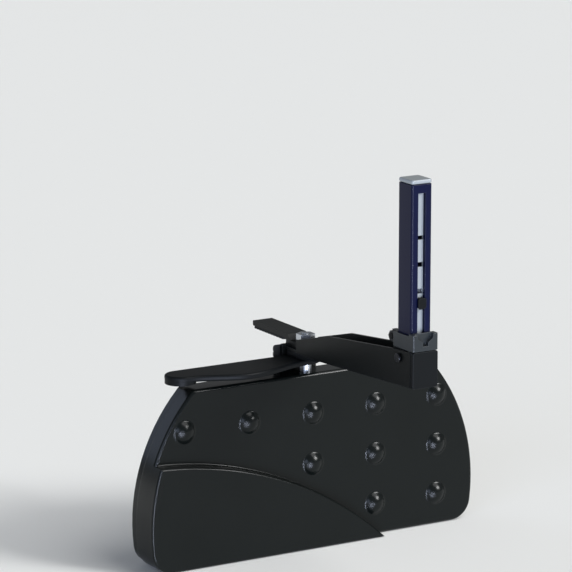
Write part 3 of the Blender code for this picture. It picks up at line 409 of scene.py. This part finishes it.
def combine(piece, other, operation):
    """Apply an exact Boolean with another object, remove that object, and merge slivers."""
    change = piece.modifiers.new("combine", 'BOOLEAN')
    change.operation = operation
    change.solver = 'EXACT'
    change.object = other
    apply_all(piece)
    bpy.data.objects.remove(other, do_unlink=True)
    edit(piece)
    bpy.ops.mesh.remove_doubles(threshold=MERGE)
    bpy.ops.mesh.select_all(action='SELECT')
    bpy.ops.mesh.dissolve_degenerate(threshold=SLIVER)
    leave()


def join(pieces):
    """Join objects into the first of them."""
    only(pieces[0])
    for piece in pieces:
        piece.select_set(True)
    bpy.ops.object.join()
    return bpy.context.view_layer.objects.active


def soften(piece, width, segments=2, angle=40):
    """Round the edges that are sharper than an angle."""
    bevel = piece.modifiers.new("rounded edges", 'BEVEL')
    bevel.width = width
    bevel.segments = segments
    bevel.limit_method = 'ANGLE'
    bevel.angle_limit = math.radians(angle)
    apply_all(piece)


def settle(piece, node, look):
    """Name a finished piece, smooth it, and let it stand for its CAD node on the same body."""
    only(piece)
    bpy.ops.object.transform_apply(location=True, rotation=True, scale=True)
    piece.name = "finished_" + node
    piece.data.name = piece.name
    bpy.ops.object.shade_smooth_by_angle(angle=math.radians(SMOOTH_ANGLE))
    weighted = piece.modifiers.new("weighted normals", 'WEIGHTED_NORMAL')
    weighted.keep_sharp = True
    apply_all(piece)
    piece.data.materials.clear()
    piece.data.materials.append(look)
    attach(piece, frame["nodes"][node]["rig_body"])
    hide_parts(node)


def copy_of(node):
    """A merged copy of a CAD node's mesh, its coplanar triangles joined into faces."""
    piece = bpy.data.objects.new(node, frame["nodes"][node].data.copy())
    bpy.context.scene.collection.objects.link(piece)
    edit(piece)
    bpy.ops.mesh.remove_doubles(threshold=CAD_MERGE)
    bpy.ops.mesh.dissolve_limited(angle_limit=math.radians(COPLANAR_ANGLE))
    leave()
    return piece


def dress(node, look, width=None, segments=2):
    """Finish a CAD node as it is: smooth shading and rounded edges."""
    piece = copy_of(node)
    soften(piece, sizes().edge if width is None else width, segments)
    settle(piece, node, look)


def cube(low, high):
    """A box between two corners."""
    size = Vector(high) - Vector(low)
    bpy.ops.mesh.primitive_cube_add(size=1.0, location=(Vector(low) + Vector(high)) / 2)
    piece = bpy.context.active_object
    piece.scale = size
    bpy.ops.object.transform_apply(location=True, rotation=True, scale=True)
    return piece


def outline_solid(points, front, back):
    """A closed solid between two planes of constant Y; points are (X, Z) round the outline."""
    bpy.ops.mesh.primitive_circle_add(vertices=len(points), radius=1.0, fill_type='NGON',
                                      location=(0, 0, 0))
    piece = bpy.context.active_object
    for vertex, (x, z) in zip(piece.data.vertices, points):
        vertex.co = (x, front, z)
    edit(piece)
    bpy.ops.mesh.extrude_region_move(TRANSFORM_OT_translate={"value": (0, back - front, 0)})
    bpy.ops.mesh.select_all(action='SELECT')
    bpy.ops.mesh.normals_make_consistent(inside=False)
    leave()
    return piece


def chain(points):
    """An open chain of edges through points."""
    bpy.ops.mesh.primitive_circle_add(vertices=len(points), radius=1.0, fill_type='NOTHING',
                                      location=(0, 0, 0))
    piece = bpy.context.active_object
    for vertex, place in zip(piece.data.vertices, points):
        vertex.co = place
    edit(piece)
    last = {0, len(points) - 1}
    choose(piece, "edges", lambda edge: {vertex.index for vertex in edge.verts} == last)
    bpy.ops.mesh.delete(type='EDGE')
    leave()
    return piece


def threaded_rod(centre, low, high, crest, depth, pitch, steps=32):
    """A right-hand trapezoidal thread about a vertical axis, cut square at both ends."""
    root = crest - depth
    start = low - pitch
    points = [(root, 0.0), (root, ROOT_END * pitch), (crest, CREST_START * pitch),
              (crest, CREST_END * pitch), (root, pitch)]
    piece = chain([(reach, 0, start + rise) for reach, rise in points])
    screw = piece.modifiers.new("thread", 'SCREW')
    screw.screw_offset = pitch
    screw.iterations = math.ceil((high - low) / pitch) + 3
    screw.steps = steps
    screw.render_steps = steps
    screw.use_merge_vertices = True
    screw.merge_threshold = TURNED_MERGE
    apply_all(piece)
    edit(piece)
    bpy.ops.mesh.remove_doubles(threshold=TURNED_MERGE)
    bpy.ops.mesh.select_all(action='SELECT')
    bpy.ops.mesh.bisect(plane_co=(0, 0, low), plane_no=(0, 0, -1), use_fill=True, clear_outer=True)
    bpy.ops.mesh.select_all(action='SELECT')
    bpy.ops.mesh.bisect(plane_co=(0, 0, high), plane_no=(0, 0, 1), use_fill=True, clear_outer=True)
    bpy.ops.mesh.select_all(action='SELECT')
    bpy.ops.mesh.normals_make_consistent(inside=False)
    leave()
    piece.location = centre
    bpy.ops.object.transform_apply(location=True, rotation=True, scale=True)
    return piece


def cylinder(radius, start, extent, direction="Z", sides=48):
    """A cylinder from a start point along +Y or +Z."""
    steps = {"Y": Vector((0, 1, 0)), "Z": Vector((0, 0, 1))}
    turns = {"Y": (math.radians(-90), 0, 0), "Z": (0, 0, 0)}
    bpy.ops.mesh.primitive_cylinder_add(vertices=sides, radius=radius, depth=extent,
                                        location=Vector(start) + steps[direction] * extent / 2,
                                        rotation=turns[direction])
    piece = bpy.context.active_object
    bpy.ops.object.transform_apply(location=True, rotation=True, scale=True)
    return piece


def arc(centre, radius, start, end, steps):
    """Points along an arc, angles in degrees."""
    points = []
    for step in range(steps + 1):
        turn = math.radians(start + (end - start) * step / steps)
        points.append((centre[0] + radius * math.cos(turn), centre[1] + radius * math.sin(turn)))
    return points


# ---- front cover ---------------------------------------------------------------------------
TOP_CORNER = 7.0 * MM
BOTTOM_CORNER = 16.0 * MM
DIMPLE_PITCH = (53.5 * MM, 38.0 * MM)
DIMPLE_TOP = -50.0 * MM
DIMPLE_COLUMNS = ((-2, -1, 0, 1, 2), (0, 1, 2), (1, 2))
APRON_CREST = (-142.0 * MM, -71.5 * MM)
BOSS_RADIUS = 4.5 * MM
PILOT_RADIUS = 2.0 * MM
PILOT_DEPTH = 12.0 * MM
SPINDLE_HOLE = 4.9 * MM
HAIR = 0.05 * MM            # keeps two surfaces that are flush from sharing one plane
ON_ARCH = 0.05 * MM         # how near the arch a vertex has to be to count as on it
ARCH_OUTSIDE = 9 * MM       # how far the arch's field runs past the cover before it is trimmed
RIM_STEPS, TOP_STEPS, BOTTOM_STEPS = 72, 8, 12    # sides of the outline's arcs
ARCH_STEPS = 48
CAP_STEPS, FOOT_STEPS = 12, 6                     # rings of a dimple's cap and of its foot


def disc_outline(inset):
    """The cover's outline: a disc cut flat above and below, moved in by an inset."""
    low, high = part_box("front_cover")
    radius = sizes().cover_radius - inset
    middle = sizes().cover_centre
    corners = []
    for level, fillet, side in ((high.z - inset, TOP_CORNER - inset, 1),
                                (low.z + inset, BOTTOM_CORNER - inset, -1)):
        z = level - side * fillet
        rise = z - middle
        x = math.sqrt((radius - fillet) ** 2 - rise ** 2)
        corners.append(((x, z), fillet, math.degrees(math.atan2(rise, x))))
    (top, top_r, top_turn), (bottom, bottom_r, bottom_turn) = corners
    half = arc(top, top_r, 90, top_turn, TOP_STEPS)
    half += arc((0, middle), radius, top_turn, bottom_turn, RIM_STEPS)[1:-1]
    half += arc(bottom, bottom_r, bottom_turn, -90, BOTTOM_STEPS)
    return half + [(-x, z) for x, z in reversed(half)]


def arch_centre():
    """Centre of the apron's arch, as X and Z."""
    return Vector((APRON_CREST[0], APRON_CREST[1] - sizes().apron_radius))


def under_arch(point):
    """Whether a point of the front, as X and Z, lies under the arch."""
    return (Vector(point) - arch_centre()).length < sizes().apron_radius


def round_level(piece, level, width, segments):
    """Round the outer edges that lie at one Y."""
    edit(piece)
    choose(piece, "edges", lambda e: all(abs(v.co.y - level) < 1e-6 for v in e.verts)
           and any(abs(f.normal.y) < 0.9 for f in e.link_faces))
    bpy.ops.mesh.bevel(offset=width, segments=segments, affect='EDGES')
    leave()


def apron_solid(inset, front, back, rounding=0.0):
    """The field under the arch, inside the cover's outline, moved in by an inset."""
    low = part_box("front_cover")[0]
    far = low.x - ARCH_OUTSIDE
    below = low.z - ARCH_OUTSIDE
    centre = arch_centre()
    radius = sizes().apron_radius - inset
    start = math.acos((far - centre.x) / radius)
    end = math.asin((low.z + inset - HAIR - centre.y) / radius)
    curve = arc(centre, radius, math.degrees(start), math.degrees(end), ARCH_STEPS)
    run_out = (curve[-1][0] + (curve[-1][1] - below) * math.tan(end), below)
    field = outline_solid(curve + [run_out, (far, below)], front - PAST, back + PAST)
    solid = outline_solid(disc_outline(inset), front, back)
    combine(solid, field, 'INTERSECT')
    if rounding:
        round_level(solid, front, rounding, segments=5)
    return solid


def turned(profile, place, steps):
    """A solid turned about an axis along Y; the profile's points are (reach, Y), axis to axis."""
    piece = chain([(reach, y, 0) for reach, y in profile])
    turn = piece.modifiers.new("turned", 'SCREW')
    turn.axis = 'Y'
    turn.steps = steps
    turn.render_steps = steps
    turn.use_merge_vertices = True
    turn.merge_threshold = TURNED_MERGE
    apply_all(piece)
    edit(piece)
    bpy.ops.mesh.remove_doubles(threshold=TURNED_MERGE)
    bpy.ops.mesh.select_all(action='SELECT')
    bpy.ops.mesh.normals_make_consistent(inside=False)
    leave()
    piece.location = place
    bpy.ops.object.transform_apply(location=True, rotation=True, scale=True)
    return piece


def make_dimples(panel):
    """Spherical caps with a fillet round the foot, one for each place on the panel."""
    rise = sizes().dimple_height
    fillet = sizes().dimple_foot
    ball = (sizes().dimple_radius ** 2 + rise ** 2) / (2 * rise)
    sunk = ball - rise
    reach = math.sqrt((ball + fillet) ** 2 - (sunk + fillet) ** 2)
    turn = math.atan2(reach, sunk + fillet)
    profile = []
    for step in range(CAP_STEPS + 1):
        done = turn * step / CAP_STEPS
        profile.append((ball * math.sin(done), sunk - ball * math.cos(done)))
    for step in range(1, FOOT_STEPS + 1):
        left = turn * (1 - step / FOOT_STEPS)
        profile.append((reach - fillet * math.sin(left), fillet * math.cos(left) - fillet))
    profile += [(reach, PAST), (0, PAST)]
    caps = []
    for row, columns in enumerate(DIMPLE_COLUMNS):
        for column in columns:
            place = (column * DIMPLE_PITCH[0], panel, DIMPLE_TOP - row * DIMPLE_PITCH[1])
            caps.append(turned(profile, place, sizes().smoothness))
    return join(caps)


class NETCLAMP_OT_front_cover(bpy.types.Operator):
    """Model the front shell with its dimples, its raised apron and its screw bosses"""
    bl_idname = "netclamp.front_cover"
    bl_label = "Front cover"

    def execute(self, context):
        low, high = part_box("front_cover")
        wall = sizes().cover_wall
        rise = sizes().apron_rise
        rounding = sizes().cover_rounding
        panel = low.y + rise
        seam = panel + sizes().cover_depth
        cover = outline_solid(disc_outline(0), panel, seam)
        round_level(cover, panel, rounding, segments=7)
        round_level(cover, seam, sizes().seam_edge, segments=3)
        combine(cover, apron_solid(HAIR, low.y, panel + 2 * rounding, sizes().apron_edge), 'UNION')
        self.fill_foot(cover, panel)
        cavity = outline_solid(disc_outline(wall), panel + wall, seam + 4 * PAST)
        combine(cover, cavity, 'DIFFERENCE')
        combine(cover, apron_solid(wall + HAIR, low.y + wall, panel + wall + PAST), 'DIFFERENCE')
        combine(cover, make_dimples(panel), 'UNION')
        pegs = []
        pilots = []
        for screw in four_of("cover_screw") + four_of("frame_screw"):
            at = centre_of(screw)
            root = panel + wall - PAST - (rise if under_arch((at.x, at.z)) else 0)
            pegs.append(cylinder(BOSS_RADIUS, (at.x, root, at.z), high.y - root, "Y", sides=32))
            start = (at.x, high.y - PILOT_DEPTH, at.z)
            pilots.append(cylinder(PILOT_RADIUS, start, PILOT_DEPTH + PAST, "Y", sides=24))
        combine(cover, join(pegs), 'UNION')
        start = (0, centre_of("lever_spindle").y, high.z - wall - PAST)
        pilots.append(cylinder(SPINDLE_HOLE, start, wall + 2 * PAST))
        combine(cover, join(pilots), 'DIFFERENCE')
        settle(cover, "front_cover", moulded_abs())
        return {'FINISHED'}

    def fill_foot(self, cover, panel):
        """Fillet the inner corner where the apron's arch rises out of the panel."""
        radius = sizes().apron_radius - HAIR
        centre = arch_centre()

        def on_arch(vertex):
            flat = Vector((vertex.co.x, vertex.co.z))
            off_arch = abs((flat - centre).length - radius)
            return abs(vertex.co.y - panel) < ON_LEVEL and off_arch < ON_ARCH

        edit(cover)
        choose(cover, "edges", lambda e: all(on_arch(v) for v in e.verts))
        bpy.ops.mesh.bevel(offset=sizes().apron_foot, segments=4, affect='EDGES')
        leave()


# ---- frame, arm and jaws -------------------------------------------------------------------
class NETCLAMP_OT_steelwork(bpy.types.Operator):
    """Finish the frame, the arm with wedge and rivets, the jaw with its nut, and the rear cover"""
    bl_idname = "netclamp.steelwork"
    bl_label = "Frame, arm and jaw"

    def execute(self, context):
        for node in ("clamp_frame", "arm_channel", "lower_jaw"):
            dress(node, powder_coated_steel())
        dress("rear_cover", moulded_abs())
        dress("arm_wedge", moulded_nylon())
        dress("jaw_nut", turned_brass())
        for node in ("arm_rivet_1", "arm_rivet_2"):
            dress(node, zinc_plated_steel())
        return {'FINISHED'}


PAD_MARGIN = 2 * MM         # of a pad's length that stays without grooves
GROOVE_HALF = 0.6 * MM      # half a groove's width
RING_GROOVES = (3.5 * MM, 7.0 * MM, 10.5 * MM)    # radii of the grooves in the round rubber


class NETCLAMP_OT_pads(bpy.types.Operator):
    """Model the grooved rubber pads"""
    bl_idname = "netclamp.pads"
    bl_label = "Rubber pads"

    def execute(self, context):
        self.grooved("side_pad", "Z")
        self.grooved("upper_jaw_pad", "Y")
        self.ringed("pad_rubber")
        return {'FINISHED'}

    def grooved(self, node, along):
        """Cut straight grooves across a pad's bearing face."""
        low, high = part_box(node)
        pitch = sizes().rib_pitch
        depth = sizes().rib_depth
        start, end = (low.z, high.z) if along == "Z" else (low.y, high.y)
        count = int((end - start - PAD_MARGIN) / pitch)
        first = (start + end) / 2 - (count - 1) * pitch / 2
        cuts = []
        for number in range(count):
            at = first + number * pitch
            if along == "Z":
                cuts.append(cube((low.x - PAST, high.y - depth, at - GROOVE_HALF),
                                 (high.x + PAST, high.y + PAST, at + GROOVE_HALF)))
            else:
                cuts.append(cube((low.x - PAST, at - GROOVE_HALF, low.z - PAST),
                                 (high.x + PAST, at + GROOVE_HALF, low.z + depth)))
        pad = copy_of(node)
        combine(pad, join(cuts), 'DIFFERENCE')
        soften(pad, 0.2 * MM)
        settle(pad, node, nitrile_rubber())

    def ringed(self, node):
        """Cut ring grooves into the pressure pad's rubber."""
        low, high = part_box(node)
        centre = (low + high) / 2
        bpy.ops.mesh.primitive_cylinder_add(vertices=72, radius=(high.x - low.x) / 2,
                                            depth=high.z - low.z, location=centre)
        pad = bpy.context.active_object
        bpy.ops.object.transform_apply(location=True, rotation=True, scale=True)
        soften(pad, 0.4 * MM, segments=3)
        for reach in RING_GROOVES:
            start = (centre.x, centre.y, high.z - sizes().rib_depth)
            ring = cylinder(reach + GROOVE_HALF, start, 2 * PAST, sides=72)
            start = (centre.x, centre.y, high.z - 2 * PAST)
            core = cylinder(reach - GROOVE_HALF, start, 6 * PAST, sides=72)
            combine(ring, core, 'DIFFERENCE')
            combine(pad, ring, 'DIFFERENCE')
        settle(pad, node, nitrile_rubber())


# ---- clamp screw ---------------------------------------------------------------------------
THREAD_END = 0.3 * MM       # left plain between the thread and the knob or the swivel pad
NECK_RADIUS = 4.0 * MM
SHANK_STEP = 1.0 * MM       # how far the shank in the knob lies under the thread's crest
ROOTED = 2 * MM             # how far the neck and the shank run into the thread
KNOB_RIM = 3.0 * MM         # flat rim left round the recess under the knob
KNOB_RECESS = 1.2 * MM      # depth of that recess
KNOB_SLOPE = 0.6 * MM       # width of its sloping wall
KNOB_END = 0.1 * MM         # a face this near the knob's lower end belongs to it


class NETCLAMP_OT_clamp_screw(bpy.types.Operator):
    """Model the threaded clamp screw, its knob and its swivel pad"""
    bl_idname = "netclamp.clamp_screw"
    bl_label = "Clamp screw and knob"

    def execute(self, context):
        low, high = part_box("clamp_screw")
        middle = (low + high) / 2
        knob_low, knob_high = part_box("clamp_knob")
        pad_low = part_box("pressure_pad")[0]
        centre = (middle.x, middle.y, 0)
        crest = (high.x - low.x) / 2
        thread_low = knob_high.z + THREAD_END
        thread_high = pad_low.z - THREAD_END
        screw = threaded_rod(centre, thread_low, thread_high, crest, sizes().screw_depth,
                             sizes().screw_pitch)
        start = (middle.x, middle.y, thread_high - ROOTED)
        neck = cylinder(NECK_RADIUS, start, high.z - thread_high + ROOTED)
        start = (middle.x, middle.y, low.z)
        shank = cylinder(crest - SHANK_STEP, start, thread_low - low.z + ROOTED)
        combine(screw, neck, 'UNION')
        combine(screw, shank, 'UNION')
        settle(screw, "clamp_screw", zinc_plated_steel())

        knob = copy_of("clamp_knob")
        edit(knob)
        choose(knob, "faces", lambda f: f.normal.z < -0.99
               and f.calc_center_median().z < knob_low.z + KNOB_END)
        bpy.ops.mesh.inset(thickness=KNOB_RIM)
        bpy.ops.mesh.inset(thickness=KNOB_SLOPE, depth=-KNOB_RECESS)
        leave()
        soften(knob, 0.35 * MM, angle=45)
        settle(knob, "clamp_knob", moulded_nylon())
        dress("pressure_pad", zinc_plated_steel())
        return {'FINISHED'}


# ---- lever ---------------------------------------------------------------------------------
STUD_RADIUS = 3.0 * MM
STUD_DEPTH = 0.5 * MM       # depth of the stud's thread
STUD_ROOT = 0.2 * MM        # how far the threaded end runs into the plain part
END_RADIUS, END_LENGTH = 8 * MM, 20 * MM    # of the cutter that takes the spindle's plain end off


class NETCLAMP_OT_lever(bpy.types.Operator):
    """Finish the lever, and model the threaded end of its spindle"""
    bl_idname = "netclamp.lever"
    bl_label = "Lever and spindle"

    def execute(self, context):
        dress("lever", moulded_nylon(), width=0.4 * MM)
        low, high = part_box("lever_spindle")
        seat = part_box("spindle_washer")[0].z
        spindle = copy_of("lever_spindle")
        centre = (low + high) / 2
        plain_end = cylinder(END_RADIUS, (centre.x, centre.y, seat), END_LENGTH)
        combine(spindle, plain_end, 'DIFFERENCE')
        stud = threaded_rod((centre.x, centre.y, 0), seat - STUD_ROOT, high.z, STUD_RADIUS,
                            STUD_DEPTH, sizes().stud_pitch, steps=24)
        combine(spindle, stud, 'UNION')
        settle(spindle, "lever_spindle", zinc_plated_steel())
        dress("spindle_washer", zinc_plated_steel(), width=0.2 * MM)
        dress("spindle_nut", zinc_plated_steel(), width=0.45 * MM)
        return {'FINISHED'}


# ---- post ----------------------------------------------------------------------------------
class NETCLAMP_OT_post(bpy.types.Operator):
    """Finish the slotted post, its cap, its rack and its hook"""
    bl_idname = "netclamp.post"
    bl_label = "Post"

    def execute(self, context):
        dress("post_tube", lacquered_aluminium(), width=0.35 * MM)
        dress("post_cap", moulded_acetal(), width=0.3 * MM)
        dress("tension_rack", moulded_acetal(), width=0.2 * MM)
        dress("cord_hook", moulded_nylon())
        return {'FINISHED'}


class NETCLAMP_OT_socket(bpy.types.Operator):
    """Finish the socket, its collar and their fasteners"""
    bl_idname = "netclamp.socket"
    bl_label = "Socket and collar"

    def execute(self, context):
        dress("socket_block", moulded_nylon(), width=0.35 * MM)
        dress("lock_collar", collar_plastic(), width=0.35 * MM)
        dress("collar_screw", moulded_nylon(), width=0.15 * MM, segments=1)
        dress("post_spigot", zinc_plated_steel())
        for node in ("socket_bolt", "socket_nut", "collar_nut"):
            dress(node, black_oxide_steel(), width=0.25 * MM)
        return {'FINISHED'}


# ---- small screws --------------------------------------------------------------------------
HEAD_THICKNESS = {"cover_screw": 2.2 * MM, "frame_screw": 1.3 * MM}
SCREW_RADIUS = 1.7 * MM
RECESS_HALF = 0.45 * MM     # half the width of the cross recess
RECESS_REACH = 0.5          # half its length, as a share of the head's radius
RECESS_DEPTH = 0.6          # its depth, as a share of the head's thickness
DOME_SHARE = 0.7            # of the head's thickness that is rounded


class NETCLAMP_OT_screws(bpy.types.Operator):
    """Model the pan-head screws with their cross recesses"""
    bl_idname = "netclamp.screws"
    bl_label = "Pan-head screws"

    def execute(self, context):
        for family, thick in HEAD_THICKNESS.items():
            nodes = four_of(family)
            low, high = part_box(nodes[0])
            centre = (low + high) / 2
            pattern = self.pan_head(low, high, centre, thick)
            for node in nodes:
                screw = pattern.copy()
                screw.data = pattern.data.copy()
                bpy.context.scene.collection.objects.link(screw)
                screw.location = centre_of(node) - centre
                settle(screw, node, zinc_plated_steel())
            bpy.data.objects.remove(pattern, do_unlink=True)
        return {'FINISHED'}

    def pan_head(self, low, high, centre, thick):
        """A domed head with a cross recess, on a plain shank."""
        reach = (high.x - low.x) / 2
        head = cylinder(reach, (centre.x, high.y - thick, centre.z), thick, "Y", sides=40)
        edit(head)
        choose(head, "edges", lambda e: all(abs(v.co.y - high.y) < ON_LEVEL for v in e.verts))
        bpy.ops.mesh.bevel(offset=thick * DOME_SHARE, segments=5, affect='EDGES')
        leave()
        start = (centre.x, low.y, centre.z)
        shank = cylinder(SCREW_RADIUS, start, high.y - thick / 2 - low.y, "Y", sides=24)
        combine(head, shank, 'UNION')
        arm = reach * RECESS_REACH
        depth = thick * RECESS_DEPTH
        across = cube((centre.x - arm, high.y - depth, centre.z - RECESS_HALF),
                      (centre.x + arm, high.y + PAST, centre.z + RECESS_HALF))
        upright = cube((centre.x - RECESS_HALF, high.y - depth, centre.z - arm),
                       (centre.x + RECESS_HALF, high.y + PAST, centre.z + arm))
        combine(across, upright, 'UNION')
        combine(head, across, 'DIFFERENCE')
        return head


# ---- stage ---------------------------------------------------------------------------------
CAMERA_PLACE = (-1.2675, -2.1174, 0.5907)
CAMERA_TURN = (math.radians(77.41), 0.0, math.radians(-30.77))
CAMERA_LENS = 218.5
FLOOR_SIZE = 30.0
FLOOR_GAP = 0.4 * MM        # under the cover's lower edge
SURROUND, SURROUND_STRENGTH = "#e4e7ea", 0.27
# Each lamp's name, azimuth, elevation and width in degrees, strength and tint. Azimuth 0 is in
# front of the cover, and the bounce light comes from below.
LAMPS = (
    ("key light", 39, 28, 20, 2.6, "#ffffff"),
    ("overhead light", 38, 56, 38, 1.25, "#ffffff"),
    ("back light", -150, 20, 30, 0.22, "#cfe0ff"),
    ("left light", -52, 10, 40, 1.3, "#d2e0ff"),
    ("bounce light", -15, -15, 40, 3.2, "#dce6ff"),
)


class NETCLAMP_OT_stage(bpy.types.Operator):
    """Set up the floor, the soft lights and the camera"""
    bl_idname = "netclamp.stage"
    bl_label = "Studio"

    def execute(self, context):
        scene = context.scene
        scene.view_settings.view_transform = 'Standard'
        self.floor()
        self.world(scene)
        for lamp in LAMPS:
            self.lamp(*lamp)
        camera = bpy.data.objects.new("photo camera", bpy.data.cameras.new("photo camera"))
        camera.location = CAMERA_PLACE
        camera.rotation_euler = CAMERA_TURN
        camera.data.lens = CAMERA_LENS
        camera.data.sensor_width = 36.0
        camera.data.clip_end = 100.0
        scene.collection.objects.link(camera)
        scene.camera = camera
        return {'FINISHED'}

    def floor(self):
        """A plain pale floor just under the cover's lower edge."""
        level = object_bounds()[0][2] - FLOOR_GAP
        bpy.ops.mesh.primitive_plane_add(size=FLOOR_SIZE, location=(0, 0, level))
        ground = bpy.context.active_object
        ground.name = "studio_floor"
        ground.visible_shadow = False    # so that the bounce light passes it
        bpy.ops.object.transform_apply(location=True, rotation=True, scale=True)
        look = bpy.data.materials.new("painted studio floor")
        look.use_nodes = True
        shader = look.node_tree.nodes["Principled BSDF"]
        shader.inputs["Base Color"].default_value = (*colours().floor, 1)
        shader.inputs["Roughness"].default_value = 0.9
        shader.inputs["Specular IOR Level"].default_value = 0.1
        ground.data.materials.append(look)
        ground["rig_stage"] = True

    def world(self, scene):
        """An even pale surround."""
        surround = bpy.data.worlds.new("studio surround")
        surround.use_nodes = True
        background = surround.node_tree.nodes["Background"]
        background.inputs["Color"].default_value = (*linear(SURROUND), 1)
        background.inputs["Strength"].default_value = SURROUND_STRENGTH
        scene.world = surround

    def lamp(self, name, azimuth, elevation, width, strength, tint):
        """A distant soft lamp."""
        light = bpy.data.lights.new(name, 'SUN')
        light.energy = strength
        light.color = linear(tint)
        light.angle = math.radians(width)
        # Only shadow rays pass the floor, so a lamp below it is sampled by them alone.
        light.cycles.use_multiple_importance_sampling = elevation > 0
        holder = bpy.data.objects.new(name, light)
        turn = math.radians(azimuth)
        rise = math.radians(elevation)
        flat = math.cos(rise)
        towards = Vector((math.sin(turn) * flat, -math.cos(turn) * flat, math.sin(rise)))
        holder.rotation_euler = towards.to_track_quat('Z', 'Y').to_euler()
        bpy.context.scene.collection.objects.link(holder)


# ---- panel and registration ----------------------------------------------------------------
OPERATORS = (NETCLAMP_OT_stage, NETCLAMP_OT_front_cover, NETCLAMP_OT_steelwork, NETCLAMP_OT_pads,
             NETCLAMP_OT_clamp_screw, NETCLAMP_OT_lever, NETCLAMP_OT_post, NETCLAMP_OT_socket,
             NETCLAMP_OT_screws)


class NETCLAMP_PT_panel(bpy.types.Panel):
    """Lists the clamp's operators, sizes and colours"""
    bl_idname = "NETCLAMP_PT_panel"
    bl_label = "Net clamp"
    bl_space_type = 'VIEW_3D'
    bl_region_type = 'UI'
    bl_category = "Net clamp"

    def draw(self, context):
        layout = self.layout
        for operator in OPERATORS:
            layout.operator(operator.bl_idname)
        for group in (context.scene.net_clamp_sizes, context.scene.net_clamp_colours):
            box = layout.box()
            for name in group.__annotations__:
                box.prop(group, name)


CLASSES = (NetClampSizes, NetClampColours, *OPERATORS, NETCLAMP_PT_panel)


def register():
    for entry in CLASSES:
        bpy.utils.register_class(entry)
    bpy.types.Scene.net_clamp_sizes = PointerProperty(type=NetClampSizes)
    bpy.types.Scene.net_clamp_colours = PointerProperty(type=NetClampColours)


def unregister():
    del bpy.types.Scene.net_clamp_colours
    del bpy.types.Scene.net_clamp_sizes
    for entry in reversed(CLASSES):
        bpy.utils.unregister_class(entry)


def main():
    """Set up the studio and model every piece."""
    register()
    bpy.ops.netclamp.stage()
    bpy.ops.netclamp.front_cover()
    bpy.ops.netclamp.steelwork()
    bpy.ops.netclamp.pads()
    bpy.ops.netclamp.clamp_screw()
    bpy.ops.netclamp.lever()
    bpy.ops.netclamp.post()
    bpy.ops.netclamp.socket()
    bpy.ops.netclamp.screws()


if __name__ == "__main__":
    main()
